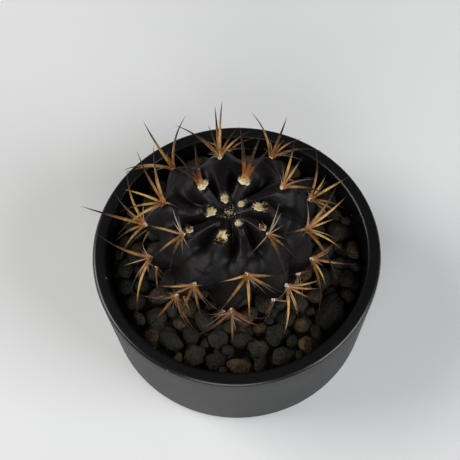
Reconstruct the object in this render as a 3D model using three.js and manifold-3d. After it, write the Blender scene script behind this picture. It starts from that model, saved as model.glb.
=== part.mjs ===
// A small round cactus in a plain black cylindrical pot, top-dressed with lava gravel.
//
// Millimetres, +Z up. The origin is the middle of the pot's underside, and the pot stands on z = 0.
// The plant has ten ribs that wind slightly round its body. Each rib carries areoles, which are felt
// pads with a fan of spines. Angles are in degrees: an azimuth is counted from +X towards +Y, and a
// polar angle is counted down from the top of the plant.

import * as THREE from 'three';
import { mergeVertices } from 'three/addons/utils/BufferGeometryUtils.js';
import Module from 'manifold-3d';

// ---------------------------------------------------------------- driving dimensions

const CLEARANCE = 0.3; // gap between pieces that rest on or in each other

const POT_HEIGHT = 45.5;
const POT_RIM_RADIUS = 52.5;
const POT_BASE_RADIUS = 50.2;
const POT_WALL = 5.2;
const POT_FLOOR = 5;
const POT_EDGE_ROUND = 1.4; // rounding of the rim's two edges
const POT_FOOT_ROUND = 2.4;
const POT_SIDES = 48;
const FILLING_SIDES = 36;

const DRAIN_HOLES = 5;
const DRAIN_HOLE_RADIUS = 2.7;
const DRAIN_RING_RADIUS = 15;

const NET_SIDE = 42;
const NET_THICKNESS = 0.9;
const NET_BAR = 2.4; // width of the net's bars
const NET_OPENINGS = 4; // openings along each side of the net

const SOIL_DEPTH = 24;
const GRAVEL_DEPTH = 4.6; // the joined lower layer of the gravel
const GRAVEL_LUMP = 0.9;
const GRAVEL_RINGS = [0, 0.55, 0.7, 0.85]; // rings of the lumpy top, as shares of its radius

const BODY_X = -2; // the plant stands a little off the pot's axis
const BODY_Y = 5.4;
const BODY_RADIUS = 28.6;
const BODY_RISE = 15; // from the widest level up to the crown
const BODY_DROP = 15; // from the widest level down to where the body would close
const BODY_ABOVE_RIM = 5.5; // widest level over the pot's rim
const BODY_CLOSE_POLAR = 146; // where the body passes into its neck
const CROWN_DIMPLE = 3;
const CROWN_DIMPLE_RADIUS = 6;

const RIB_DEPTH = 3.8;
const RIB_SHARPNESS = 1.7; // power of the rib's cross-section, where 2 is a plain round back
const CREST_SHARE = 0.45; // share of the rib's depth that stands above the plain body
const RIB_TWIST = 24; // how far a rib winds in a quarter turn of polar angle, beyond its areoles
const RIB_COLUMNS = 6; // facets from one rib's crest to the next
const CROWN_POLAR = 24; // rows of facets are closer together above this polar angle
const CROWN_ROW = 6;
const FLANK_ROW = 10;
const TUBERCLE_HEIGHT = 1.8;
const TUBERCLE_RADIUS = 5.5;
const YOUNG_TUBERCLE = 0.35; // a tubercle at the crown, as a share of a full one
const YOUNG_REACH = 0.4; // its radius, as a share of a full one's

const NECK_RADIUS = 12;
const ROOT_RADIUS = 8.5;
const ROOT_SHOULDER = 6; // from the neck down to the root
const ROOT_WAIST_SHARE = 0.62; // half way down the root, as a share of its radius
const ROOT_TIP_SHARE = 0.28;
const ROOT_CLEAR = 0.7; // root tip over the drain net

const FELT_LENGTH = 4.4; // a young woolly areole, along its rib
const PAD_LENGTH = 3.2; // an old areole
const PAD_WIDTH_SHARE = 0.72; // a pad's width and thickness, as shares of its length
const PAD_THICKNESS_SHARE = 0.64;
const YOUNG_POLAR = 35; // areoles nearer the crown than this are young
const SPINE_RADIUS = 0.72;
const SPINE_LIFT = 32; // from the skin up to the spine
const SPINE_BEND = 0.09; // sideways bow, as a share of the spine's length

// ---------------------------------------------------------------- the plant's layout

// Each rib is the list of its areoles from the crown down, and its crest runs through them. An areole
// has its polar angle, its azimuth and its spines. A spine is its bearing round the areole (0 points
// down the rib and positive is anticlockwise from outside), its length, and where it differs its lift.
const RIBS = [
  [
    { polar: 9, azimuth: 22, spines: [] },
    { polar: 42, azimuth: 23, spines: [[59, 18], [36, 13], [-6, 11, 24], [-52, 16]] },
    { polar: 70, azimuth: 13, spines: [[100, 18], [56, 12], [29, 18, 46], [-24, 13], [-76, 17]] },
    { polar: 112, azimuth: 8, spines: [[80, 9], [-80, 9]] },
  ],
  [
    { polar: 23, azimuth: 60, spines: [[37, 18], [6, 16, 40], [-16, 14]] },
    { polar: 74, azimuth: 58, spines: [
      [106, 17, 41], [-172, 18, 56], [4, 12, 38], [-76, 18], [-46, 13, 54],
    ] },
    { polar: 106, azimuth: 52, spines: [[75, 12], [24, 8, 40], [-28, 8, 40], [-78, 12]] },
  ],
  [
    { polar: 9, azimuth: 110, spines: [] },
    { polar: 46, azimuth: 97, spines: [
      [57, 19], [14, 12, 42], [-5, 19, 40], [-16, 20, 46], [-50, 13], [-84, 15],
    ] },
    { polar: 90, azimuth: 90, spines: [[80, 13], [42, 9], [0, 8, 40], [-40, 9], [-80, 13]] },
  ],
  [
    { polar: 26, azimuth: 136, spines: [[30, 12, 50], [-6, 14], [-44, 14]] },
    { polar: 72, azimuth: 132, spines: [[84, 17], [52, 18], [-30, 21, 65], [-102, 19, 38], [178, 13]] },
    { polar: 112, azimuth: 124, spines: [[76, 10], [30, 8, 40], [-30, 8, 40], [-76, 10]] },
  ],
  [
    { polar: 13, azimuth: 193, spines: [] },
    { polar: 49, azimuth: 169, spines: [[57, 20, 24], [28, 15], [-10, 15, 40], [-67, 20, 38], [-90, 20, 35]] },
    { polar: 72, azimuth: 181, spines: [[66, 15, 27], [17, 12], [-38, 23, 62], [-68, 17], [-108, 20, 28]] },
    { polar: 112, azimuth: 168, spines: [[80, 9], [-80, 9]] },
  ],
  [
    { polar: 38, azimuth: 210, spines: [[53, 17], [18, 15], [-48, 13], [-100, 13]] },
    { polar: 78, azimuth: 204, spines: [
      [124, 17, 24], [56, 20, 26], [30, 14], [-64, 15, 30], [-86, 20, 44],
    ] },
    { polar: 114, azimuth: 200, spines: [[74, 10], [10, 8, 42], [-74, 10]] },
  ],
  [
    { polar: 24, azimuth: 257, spines: [] },
    { polar: 66, azimuth: 243, spines: [[86, 14], [51, 16], [0, 13], [-54, 15], [-80, 14]] },
    { polar: 92, azimuth: 232, spines: [[100, 17, 28], [80, 18, 20], [-21, 18, 45], [-98, 16]] },
    { polar: 120, azimuth: 228, spines: [[86, 8], [-74, 8]] },
  ],
  [
    { polar: 14, azimuth: 294, spines: [] },
    { polar: 53, azimuth: 282, spines: [[82, 14], [54, 16], [-14, 16], [-57, 19, 29], [-96, 12]] },
    { polar: 90, azimuth: 269, spines: [[116, 17], [128, 18, 22], [0, 16], [-85, 17]] },
    { polar: 118, azimuth: 264, spines: [[88, 9], [-88, 9]] },
  ],
  [
    { polar: 34, azimuth: 320, spines: [[113, 11, 66], [-15, 16], [-40, 19, 27]] },
    { polar: 81, azimuth: 307, spines: [[95, 14], [67, 13], [36, 12], [-14, 12], [-50, 17]] },
    { polar: 114, azimuth: 300, spines: [[84, 9], [-84, 9]] },
  ],
  [
    { polar: 21, azimuth: 354, spines: [] },
    { polar: 61, azimuth: 346, spines: [
      [85, 18], [66, 19, 34], [43, 12], [-20, 14], [-48, 20, 16], [-144, 18, 16],
    ] },
    { polar: 85, azimuth: 333, spines: [[120, 14], [40, 18, 46], [-28, 12], [-67, 19, 26]] },
    { polar: 116, azimuth: 328, spines: [[80, 9], [-80, 9]] },
  ],
];

const STONE_THICKNESS_SHARE = 0.72; // a stone's thickness, as a share of its width
const STONE_UNEVENNESS = 0.16;
const STONE_SINK = 0.28; // share of a stone's thickness that lies in the gravel bed

// Loose stones of the top layer: azimuth round the pot, distance in from its wall, length, width,
// and how they are turned.
const STONES = [
  [202, 5.8, 8, 7.4, 100], [216, 9.5, 8, 7.2, 40], [231, 6.8, 10, 6.8, 150], [246, 6.1, 8.4, 7.4, 60],
  [256, 14.6, 7, 6.8, 0], [257, 6.2, 7, 6.2, 20], [269, 5.2, 9.6, 5, 170], [280, 11.1, 7.4, 7, 0],
  [293, 14, 8.6, 6.4, 80], [291, 5.2, 9.2, 6.6, 20], [305, 4.3, 7.4, 6.4, 20],
  [311, 11.5, 6.6, 5.8, 10], [326, 5.9, 14, 10.6, 60], [347, 5.3, 7, 6.2, 70], [3, 4.2, 7.4, 5.4, 95],
  [34, 3.4, 7.5, 6.4, 120], [108, 4, 10, 6.4, 10], [132, 3.5, 7.2, 6.2, 60], [156, 3.2, 6.8, 6, 100],
  [183, 4.6, 8.6, 6.8, 80],
];

// ---------------------------------------------------------------- worked-out sizes

const POT_INNER_RIM = POT_RIM_RADIUS - POT_WALL;
const POT_INNER_FLOOR = POT_BASE_RADIUS - POT_WALL;
const SOIL_BOTTOM = POT_FLOOR + CLEARANCE;
const SOIL_TOP = SOIL_BOTTOM + SOIL_DEPTH;
const GRAVEL_BOTTOM = SOIL_TOP + CLEARANCE;
const GRAVEL_TOP = GRAVEL_BOTTOM + GRAVEL_DEPTH;
const BODY_LEVEL = POT_HEIGHT + BODY_ABOVE_RIM;
const NECK_LEVEL = GRAVEL_BOTTOM + 1;
const ROOT_END = SOIL_BOTTOM + NET_THICKNESS + ROOT_CLEAR;

const wasm = await Module();
wasm.setup();

const radians = THREE.MathUtils.degToRad;

// ---------------------------------------------------------------- solids

/** A closed three.js geometry as a manifold solid. */
function solidOf(geometry) {
  const bare = new THREE.BufferGeometry();
  bare.setAttribute('position', geometry.getAttribute('position').clone());
  bare.setIndex(geometry.getIndex() ? geometry.getIndex().clone() : null);
  const merged = mergeVertices(bare, 1e-4);
  const mesh = new wasm.Mesh({
    numProp: 3,
    vertProperties: new Float32Array(merged.getAttribute('position').array),
    triVerts: new Uint32Array(merged.getIndex().array),
  });
  return new wasm.Manifold(mesh);
}

/** A manifold solid back as a three.js geometry. */
function geometryOf(solid) {
  const mesh = solid.getMesh();
  const geometry = new THREE.BufferGeometry();
  geometry.setAttribute('position', new THREE.BufferAttribute(new Float32Array(mesh.vertProperties), 3));
  geometry.setIndex(new THREE.BufferAttribute(new Uint32Array(mesh.triVerts), 1));
  geometry.computeVertexNormals();
  return geometry;
}

/** A lathe round the Z axis; the profile is [radius, height] pairs. */
function turned(profile, sides) {
  const points = profile.map(([radius, height]) => new THREE.Vector2(radius, height));
  const lathe = new THREE.LatheGeometry(points, sides);
  lathe.rotateX(Math.PI / 2);
  return lathe;
}

/** Points of a quarter-round from one [radius, height] point to another, bulging outwards. */
function rounded(from, to, corner, steps) {
  const points = [];
  for (let step = 0; step <= steps; step += 1) {
    const share = step / steps;
    const near = (1 - share) ** 2;
    const mid = 2 * share * (1 - share);
    const far = share ** 2;
    points.push([
      near * from[0] + mid * corner[0] + far * to[0],
      near * from[1] + mid * corner[1] + far * to[1],
    ]);
  }
  return points;
}

/** The same value between 0 and 1 for the same whole number, every time. */
function unit(seed) {
  const wave = Math.sin(seed * 12.9898) * 43758.5453;
  return wave - Math.floor(wave);
}

const group = new THREE.Group();

/** Adds one named piece to the group. */
function add(name, geometry, material) {
  const mesh = new THREE.Mesh(geometry, material);
  mesh.name = name;
  group.add(mesh);
}

const finishes = {
  pot: new THREE.MeshStandardMaterial({ color: 0x1d1d1c, roughness: 0.62, metalness: 0 }),
  net: new THREE.MeshStandardMaterial({ color: 0x2a2a28, roughness: 0.7, metalness: 0 }),
  soil: new THREE.MeshStandardMaterial({ color: 0x3a2b20, roughness: 0.95, metalness: 0 }),
  gravel: new THREE.MeshStandardMaterial({ color: 0x2b2825, roughness: 0.9, metalness: 0 }),
  skin: new THREE.MeshStandardMaterial({ color: 0x2a2629, roughness: 0.45, metalness: 0 }),
  spine: new THREE.MeshStandardMaterial({ color: 0xb98a4e, roughness: 0.5, metalness: 0 }),
  felt: new THREE.MeshStandardMaterial({ color: 0xd8ccae, roughness: 0.95, metalness: 0 }),
};

// ---------------------------------------------------------------- pot

/** Radius of the pot's inner wall at a height. */
function innerRadius(height) {
  const share = (height - POT_FLOOR) / (POT_HEIGHT - POT_FLOOR);
  return POT_INNER_FLOOR + (POT_INNER_RIM - POT_INNER_FLOOR) * share;
}

/** The pot: a tapered cylinder with a rounded rim, a flat foot and a ring of drain holes. */
function potSolid() {
  const foot = rounded(
    [POT_BASE_RADIUS - POT_FOOT_ROUND, 0],
    [POT_BASE_RADIUS, POT_FOOT_ROUND],
    [POT_BASE_RADIUS, 0],
    3,
  );
  const outerEdge = rounded(
    [POT_RIM_RADIUS, POT_HEIGHT - POT_EDGE_ROUND],
    [POT_RIM_RADIUS - POT_EDGE_ROUND, POT_HEIGHT],
    [POT_RIM_RADIUS, POT_HEIGHT],
    3,
  );
  const innerEdge = rounded(
    [POT_INNER_RIM + POT_EDGE_ROUND, POT_HEIGHT],
    [POT_INNER_RIM, POT_HEIGHT - POT_EDGE_ROUND],
    [POT_INNER_RIM, POT_HEIGHT],
    3,
  );
  const profile = [[0, 0], ...foot, ...outerEdge, ...innerEdge, [POT_INNER_FLOOR, POT_FLOOR], [0, POT_FLOOR]];
  let pot = solidOf(turned(profile, POT_SIDES));
  for (let hole = 0; hole < DRAIN_HOLES; hole += 1) {
    const angle = (hole / DRAIN_HOLES) * 2 * Math.PI;
    const drill = new THREE.CylinderGeometry(DRAIN_HOLE_RADIUS, DRAIN_HOLE_RADIUS, POT_FLOOR * 3, 12);
    drill.rotateX(Math.PI / 2);
    drill.translate(DRAIN_RING_RADIUS * Math.cos(angle), DRAIN_RING_RADIUS * Math.sin(angle), 0);
    pot = pot.subtract(solidOf(drill));
  }
  return pot;
}

// ---------------------------------------------------------------- drain net

/** The square net that keeps the soil off the drain holes. */
function netSolid() {
  const plate = new THREE.BoxGeometry(NET_SIDE, NET_SIDE, NET_THICKNESS);
  plate.translate(0, 0, SOIL_BOTTOM + NET_THICKNESS / 2);
  let net = solidOf(plate);
  const pitch = (NET_SIDE - NET_BAR) / NET_OPENINGS;
  const opening = pitch - NET_BAR;
  for (let row = 0; row < NET_OPENINGS; row += 1) {
    for (let column = 0; column < NET_OPENINGS; column += 1) {
      const cut = new THREE.BoxGeometry(opening, opening, NET_THICKNESS * 4);
      const x = (column - (NET_OPENINGS - 1) / 2) * pitch;
      const y = (row - (NET_OPENINGS - 1) / 2) * pitch;
      cut.translate(x, y, SOIL_BOTTOM);
      net = net.subtract(solidOf(cut));
    }
  }
  return net;
}

/** The room that the net takes up under the soil. */
function netPocket() {
  const side = NET_SIDE + 2 * CLEARANCE;
  const depth = NET_THICKNESS + CLEARANCE;
  const pocket = new THREE.BoxGeometry(side, side, depth * 2);
  pocket.translate(0, 0, SOIL_BOTTOM);
  return solidOf(pocket);
}

// ---------------------------------------------------------------- plant body

const ribCount = RIBS.length;

/** Azimuth of a rib's crest at a polar angle: through its areoles, and winding on beyond them. */
function crestAzimuth(rib, polar) {
  const areoles = RIBS[rib];
  const after = areoles.findIndex((areole) => areole.polar > polar);
  if (after > 0) {
    const [above, below] = [areoles[after - 1], areoles[after]];
    const share = (polar - above.polar) / (below.polar - above.polar);
    return THREE.MathUtils.lerp(above.azimuth, below.azimuth, share);
  }
  const end = after === 0 ? areoles[0] : areoles[areoles.length - 1];
  return end.azimuth + (RIB_TWIST * (end.polar - polar)) / 90;
}

/** Azimuth of a place part of the way from one rib's crest to the next one's. */
function columnAzimuth(rib, share, polar) {
  const from = crestAzimuth(rib, polar);
  const next = crestAzimuth((rib + 1) % ribCount, polar);
  const gap = (next - from + 360) % 360;
  return from + gap * share;
}

/** The body without ribs: radius, height and outward slope at a polar angle. */
function bodyProfile(polar) {
  const angle = radians(polar);
  const rise = polar < 90 ? BODY_RISE : BODY_DROP;
  const radius = BODY_RADIUS * Math.sin(angle);
  const out = new THREE.Vector2(Math.sin(angle) / BODY_RADIUS, Math.cos(angle) / rise).normalize();
  const dimple = CROWN_DIMPLE * Math.exp(-((radius / CROWN_DIMPLE_RADIUS) ** 2));
  return { radius, height: BODY_LEVEL + rise * Math.cos(angle) - dimple, out };
}

/** How far the ribs stand out at a body radius: shallow at the crown, full from half way out. */
function ribDepth(radius) {
  return RIB_DEPTH * Math.min(1, (2 * radius) / BODY_RADIUS) ** 0.8;
}

/** How far a tubercle stands out under an areole at a body radius. */
function tubercleHeight(radius) {
  return TUBERCLE_HEIGHT * Math.min(1, YOUNG_TUBERCLE + (1.2 * radius) / BODY_RADIUS);
}

/** Swelling of the rib's tubercles at a polar angle and a sideways distance from the crest. */
function tubercles(rib, polar, aside) {
  const perDegree = radians(1) * Math.hypot(
    BODY_RADIUS * Math.cos(radians(polar)),
    BODY_RISE * Math.sin(radians(polar)),
  );
  let swelling = 0;
  for (const areole of RIBS[rib]) {
    const radius = bodyProfile(areole.polar).radius;
    const reach = TUBERCLE_RADIUS * Math.min(1, YOUNG_REACH + radius / BODY_RADIUS);
    const along = (polar - areole.polar) * perDegree;
    const distance = (along ** 2 + aside ** 2) / reach ** 2;
    swelling = Math.max(swelling, tubercleHeight(radius) * Math.exp(-distance));
  }
  return swelling;
}

/** A point of the skin: rib number, share of the way to the next rib, polar angle, and an offset. */
function skinPoint(rib, share, polar, offset) {
  const { radius, height, out } = bodyProfile(polar);
  const nearest = share < 0.5 ? rib : (rib + 1) % ribCount;
  const fromCrest = share < 0.5 ? share * 2 : (1 - share) * 2;
  const aside = (fromCrest * Math.PI * radius) / ribCount;
  const crest = CREST_SHARE - fromCrest ** RIB_SHARPNESS;
  const stand = crest * ribDepth(radius) + tubercles(nearest, polar, aside) + offset;
  const angle = radians(columnAzimuth(rib, share, polar));
  const reach = Math.max(0, radius + stand * out.x);
  return new THREE.Vector3(
    BODY_X + reach * Math.cos(angle),
    BODY_Y + reach * Math.sin(angle),
    height + stand * out.y,
  );
}

/** The grown body with its neck and taproot, every face moved out by an offset. */
function bodySolid(offset) {
  const polars = [];
  for (let polar = 0; polar <= BODY_CLOSE_POLAR; polar += polar < CROWN_POLAR ? CROWN_ROW : FLANK_ROW) {
    polars.push(polar);
  }
  const root = [
    [NECK_RADIUS, NECK_LEVEL],
    [ROOT_RADIUS, NECK_LEVEL - ROOT_SHOULDER],
    [ROOT_RADIUS * ROOT_WAIST_SHARE, (NECK_LEVEL - ROOT_SHOULDER + ROOT_END) / 2],
    [ROOT_RADIUS * ROOT_TIP_SHARE, ROOT_END + 1],
    [0, ROOT_END],
  ];
  const rows = polars.length + root.length;
  const columns = ribCount * RIB_COLUMNS;
  const profile = [];
  for (let row = 0; row < rows; row += 1) {
    const closed = row === 0 || row === rows - 1;
    profile.push([closed ? 0 : 1, rows - row]);
  }
  const geometry = turned(profile.reverse(), columns);
  const position = geometry.getAttribute('position');
  for (let index = 0; index < position.count; index += 1) {
    const row = rows - 1 - (index % rows);
    const column = Math.floor(index / rows) % columns;
    const rib = Math.floor(column / RIB_COLUMNS) % ribCount;
    const share = (column % RIB_COLUMNS) / RIB_COLUMNS;
    if (row === 0) {
      position.setXYZ(index, BODY_X, BODY_Y, bodyProfile(0).height + offset);
    } else if (row < polars.length) {
      position.setXYZ(index, ...skinPoint(rib, share, polars[row], offset).toArray());
    } else {
      const [radius, height] = root[row - polars.length];
      const reach = radius > 0 ? radius + offset : 0;
      const angle = radians(columnAzimuth(rib, share, BODY_CLOSE_POLAR));
      const drop = radius > 0 ? 0 : offset;
      position.setXYZ(
        index,
        BODY_X + reach * Math.cos(angle),
        BODY_Y + reach * Math.sin(angle),
        height - drop,
      );
    }
  }
  return solidOf(geometry);
}

// ---------------------------------------------------------------- areoles and spines

/** Where an areole sits: its point on the rib's crest, and its outward, down-rib and sideways axes. */
function areoleSeat(polar, azimuth) {
  const { radius, height, out } = bodyProfile(polar);
  const angle = radians(azimuth);
  const outward = new THREE.Vector3(out.x * Math.cos(angle), out.x * Math.sin(angle), out.y);
  const down = new THREE.Vector3(out.y * Math.cos(angle), out.y * Math.sin(angle), -out.x);
  const side = new THREE.Vector3().crossVectors(outward, down);
  const stand = CREST_SHARE * ribDepth(radius) + tubercleHeight(radius);
  const reach = radius + stand * out.x;
  const point = new THREE.Vector3(
    BODY_X + reach * Math.cos(angle),
    BODY_Y + reach * Math.sin(angle),
    height + stand * out.y,
  );
  return { point, outward, down, side };
}

/** A felt pad at a seat, grown by an offset. */
function padSolid(seat, young, offset) {
  const length = young ? FELT_LENGTH : PAD_LENGTH;
  const sphere = new THREE.SphereGeometry(1, 6, 4);
  sphere.rotateX(Math.PI / 2);
  sphere.scale(
    length / 2 + offset,
    (length * PAD_WIDTH_SHARE) / 2 + offset,
    (length * PAD_THICKNESS_SHARE) / 2 + offset,
  );
  const turn = new THREE.Matrix4().makeBasis(seat.down, seat.side, seat.outward);
  turn.setPosition(seat.point);
  sphere.applyMatrix4(turn);
  return solidOf(sphere);
}

/** One bowed, tapering spine that starts inside its pad. */
function spineSolid(seat, bearing, length, lift) {
  const cone = new THREE.ConeGeometry(SPINE_RADIUS, length, 4, 2);
  cone.translate(0, length / 2, 0);
  const position = cone.getAttribute('position');
  for (let index = 0; index < position.count; index += 1) {
    const share = position.getY(index) / length;
    const bow = 4 * SPINE_BEND * length * share * (1 - share);
    position.setZ(index, position.getZ(index) + bow);
  }
  const flat = new THREE.Vector3()
    .addScaledVector(seat.down, Math.cos(radians(bearing)))
    .addScaledVector(seat.side, Math.sin(radians(bearing)));
  const along = new THREE.Vector3()
    .addScaledVector(flat, Math.cos(radians(lift)))
    .addScaledVector(seat.outward, Math.sin(radians(lift)));
  const bowed = new THREE.Vector3()
    .addScaledVector(flat, -Math.sin(radians(lift)))
    .addScaledVector(seat.outward, Math.cos(radians(lift)));
  const across = new THREE.Vector3().crossVectors(along, bowed);
  const turn = new THREE.Matrix4().makeBasis(across, along, bowed);
  turn.setPosition(seat.point);
  cone.applyMatrix4(turn);
  return solidOf(cone);
}

// ---------------------------------------------------------------- soil and gravel

/** A round filling of the pot between two heights, clear of its wall. */
function fillingSolid(bottom, top, lump) {
  const rings = lump > 0 ? GRAVEL_RINGS : [0];
  const edgeTop = innerRadius(top) - CLEARANCE;
  const edgeBottom = innerRadius(bottom) - CLEARANCE;
  const surface = rings.slice().reverse().map((share) => [share * edgeTop, top]);
  const geometry = turned([[0, bottom], [edgeBottom, bottom], [edgeTop, top], ...surface], FILLING_SIDES);
  const position = geometry.getAttribute('position');
  for (let index = 0; index < position.count; index += 1) {
    const x = Math.round(position.getX(index) * 100) / 100;
    const y = Math.round(position.getY(index) * 100) / 100;
    const inside = Math.hypot(x, y) < edgeTop - 1 && position.getZ(index) > top - 0.01;
    if (inside) {
      position.setZ(index, top - lump * unit(x * 7.3 + y * 3.1));
    }
  }
  return solidOf(geometry);
}

/** One stone of the top layer, or its pocket in the layer below. */
function stoneSolid(number, offset) {
  const [azimuth, inwards, length, width, turn] = STONES[number];
  const distance = innerRadius(GRAVEL_TOP) - inwards;
  const thick = width * STONE_THICKNESS_SHARE;
  const stone = new THREE.IcosahedronGeometry(1, 1);
  const position = stone.getAttribute('position');
  for (let index = 0; index < position.count; index += 1) {
    const point = new THREE.Vector3().fromBufferAttribute(position, index);
    const seed = Math.round(point.x * 50) * 3 + Math.round(point.y * 50) * 5 + Math.round(point.z * 50) * 7;
    const uneven = 1 - STONE_UNEVENNESS * unit(seed + number * 31);
    point.multiplyScalar(uneven);
    position.setXYZ(
      index,
      point.x * (length / 2 + offset),
      point.y * (width / 2 + offset),
      point.z * (thick / 2 + offset),
    );
  }
  stone.rotateZ(radians(turn));
  stone.translate(
    distance * Math.cos(radians(azimuth)),
    distance * Math.sin(radians(azimuth)),
    GRAVEL_TOP + thick * (0.5 - STONE_SINK),
  );
  return solidOf(stone);
}

// ---------------------------------------------------------------- assembly

add('pot', geometryOf(potSolid()), finishes.pot);
add('drain_net', geometryOf(netSolid()), finishes.net);

const plantRoom = bodySolid(CLEARANCE);
const soil = fillingSolid(SOIL_BOTTOM, SOIL_TOP, 0).subtract(netPocket()).subtract(plantRoom);
add('soil', geometryOf(soil), finishes.soil);

let gravelBed = fillingSolid(GRAVEL_BOTTOM, GRAVEL_TOP, GRAVEL_LUMP).subtract(plantRoom);
STONES.forEach((_, number) => {
  gravelBed = gravelBed.subtract(stoneSolid(number, CLEARANCE));
  const name = `stone_${String(number + 1).padStart(2, '0')}`;
  add(name, geometryOf(stoneSolid(number, 0)), finishes.gravel);
});
add('gravel_bed', geometryOf(gravelBed), finishes.gravel);

let body = bodySolid(0);
RIBS.forEach((areoles, rib) => {
  areoles.forEach(({ polar, azimuth, spines }, order) => {
    const seat = areoleSeat(polar, azimuth);
    const young = spines.length === 0 || polar < YOUNG_POLAR;
    let areole = padSolid(seat, young, 0);
    for (const [bearing, length, lift = SPINE_LIFT] of spines) {
      areole = areole.add(spineSolid(seat, bearing, length, lift));
    }
    body = body.subtract(padSolid(seat, young, CLEARANCE));
    const name = `areole_r${String(rib + 1).padStart(2, '0')}_${order + 1}`;
    add(name, geometryOf(areole), spines.length === 0 ? finishes.felt : finishes.spine);
  });
});
add('cactus_body', geometryOf(body), finishes.skin);

export default group;
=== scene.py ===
"""A small round cactus with golden spines, in a plain black pot dressed with lava gravel.

Sizes are millimetres until a mesh is finished, when it is scaled to metres. Z points up, and the
origin is the middle of the pot's underside. Azimuths count from +X towards +Y and polar angles
count down from the top of the plant, both in degrees.
"""

import logging
import math
import random
from dataclasses import dataclass, field
from enum import Enum
from typing import Any, Callable, Iterable, Optional, Sequence

import bmesh
import bpy
from mathutils import Euler, Matrix, Vector, noise


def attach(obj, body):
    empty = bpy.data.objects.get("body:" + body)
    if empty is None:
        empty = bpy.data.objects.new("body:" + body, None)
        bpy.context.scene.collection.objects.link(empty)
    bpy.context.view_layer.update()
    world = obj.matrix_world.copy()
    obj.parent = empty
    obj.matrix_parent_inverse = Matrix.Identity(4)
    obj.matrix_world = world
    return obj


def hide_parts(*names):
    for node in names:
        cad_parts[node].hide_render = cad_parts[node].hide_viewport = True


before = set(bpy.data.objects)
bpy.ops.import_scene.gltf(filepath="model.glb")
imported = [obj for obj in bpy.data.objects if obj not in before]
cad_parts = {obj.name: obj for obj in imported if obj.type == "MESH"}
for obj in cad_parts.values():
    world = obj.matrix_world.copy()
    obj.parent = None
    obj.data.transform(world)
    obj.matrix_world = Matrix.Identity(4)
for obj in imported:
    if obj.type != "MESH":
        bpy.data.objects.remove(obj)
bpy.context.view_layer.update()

LOG = logging.getLogger("potted_cactus")

MM = 0.001
BODY_NAME = "root"

Colour = tuple[float, float, float, float]
Point = tuple[float, float]


class Slot(Enum):
    """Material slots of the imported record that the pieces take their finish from."""

    POT = "pot_finish"
    NET = "net_plastic"
    SOIL = "potting_mix"
    GRAVEL = "lava_gravel"
    SKIN = "cactus_skin"
    SPINE = "spine_horn"
    WOOL = "areole_wool"


class Growth(Enum):
    """How far an areole and its spines have grown."""

    BARE = "wool only"
    BUDDING = "wool with spine tips breaking through"
    YOUNG = "stout new spines"
    GROWN = "full spines"
    AGED = "weathered spines"


# ------------------------------------------------------------------ small tools


def smoothstep(low: float, high: float, value: float) -> float:
    """Soft ramp from 0 at low to 1 at high."""
    share = min(1.0, max(0.0, (value - low) / (high - low)))
    return share * share * (3 - 2 * share)


def lerp(start: float, end: float, share: float) -> float:
    """Straight blend of two numbers."""
    return start + (end - start) * share


def gauss(distance: float, reach: float) -> float:
    """Bell curve, 1 at the middle and about a third at its reach."""
    return math.exp(-((distance / reach) ** 2))


def polar_point(radius: float, azimuth: float, height: float) -> Vector:
    """Point at a radius and an azimuth round the Z axis."""
    angle = math.radians(azimuth)
    return Vector((radius * math.cos(angle), radius * math.sin(angle), height))


def random_vector(rng: random.Random, reach: float) -> Vector:
    """Vector whose three parts are drawn evenly up to a reach on both sides of 0."""
    return Vector([rng.uniform(-reach, reach) for _ in range(3)])


def aimed(place: Vector, aim: Vector, roll: float = 0.0) -> Matrix:
    """Matrix of a camera or lamp at a place that looks at a point."""
    look = (aim - place).to_track_quat("-Z", "Y").to_matrix()
    turn = look @ Matrix.Rotation(math.radians(roll), 3, "Z")
    return Matrix.Translation(place) @ turn.to_4x4()


def line(start: Point, end: Point, shares: Iterable[float]) -> list[Point]:
    """Profile points at these shares of the way from one point to another."""
    return [(lerp(start[0], end[0], share), lerp(start[1], end[1], share)) for share in shares]


def arc(centre: Point, radius: float, start: float, end: float, steps: int) -> list[Point]:
    """Points along an arc of a profile.

    Args:
        centre: Middle of the arc.
        radius: Radius of the arc.
        start: First angle in degrees, from the outward direction towards the top.
        end: Last angle in degrees.
        steps: Pieces that the arc is cut into.

    Returns:
        The points from the first angle to the last.
    """
    angles = [math.radians(lerp(start, end, step / steps)) for step in range(steps + 1)]
    return [(centre[0] + radius * math.cos(a), centre[1] + radius * math.sin(a)) for a in angles]


def spin_profile(profile: Sequence[Point], steps: int) -> bmesh.types.BMesh:
    """Turn a profile into a closed shell round the Z axis.

    Args:
        profile: Radius and height pairs, in order along the outline.
        steps: Facets round the axis.

    Returns:
        A bmesh whose faces point outwards.
    """
    bm = bmesh.new()
    verts = [bm.verts.new((radius, 0.0, height)) for radius, height in profile]
    edges = [bm.edges.new(pair) for pair in zip(verts, verts[1:])]
    bmesh.ops.spin(
        bm, geom=verts + edges, cent=(0, 0, 0), axis=(0, 0, 1), dvec=(0, 0, 0),
        angle=2 * math.pi, steps=steps, use_merge=True,
    )
    bmesh.ops.remove_doubles(bm, verts=bm.verts, dist=1e-4)
    bmesh.ops.recalc_face_normals(bm, faces=bm.faces)
    return bm


def add_cone(
    bm: bmesh.types.BMesh, sides: int, radii: Point, depth: float, spot: Matrix, fan: bool = True
) -> list[bmesh.types.BMVert]:
    """Add a closed cone.

    Args:
        bm: Mesh that takes it.
        sides: Facets round it.
        radii: Radius at its lower and upper end.
        depth: Its length.
        spot: Where its middle stands and how it is turned.
        fan: Whether its ends are fans of triangles.

    Returns:
        Its corners.
    """
    made = bmesh.ops.create_cone(
        bm, cap_ends=True, cap_tris=fan, segments=sides,
        radius1=radii[0], radius2=radii[1], depth=depth, matrix=spot,
    )
    return made["verts"]


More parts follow.
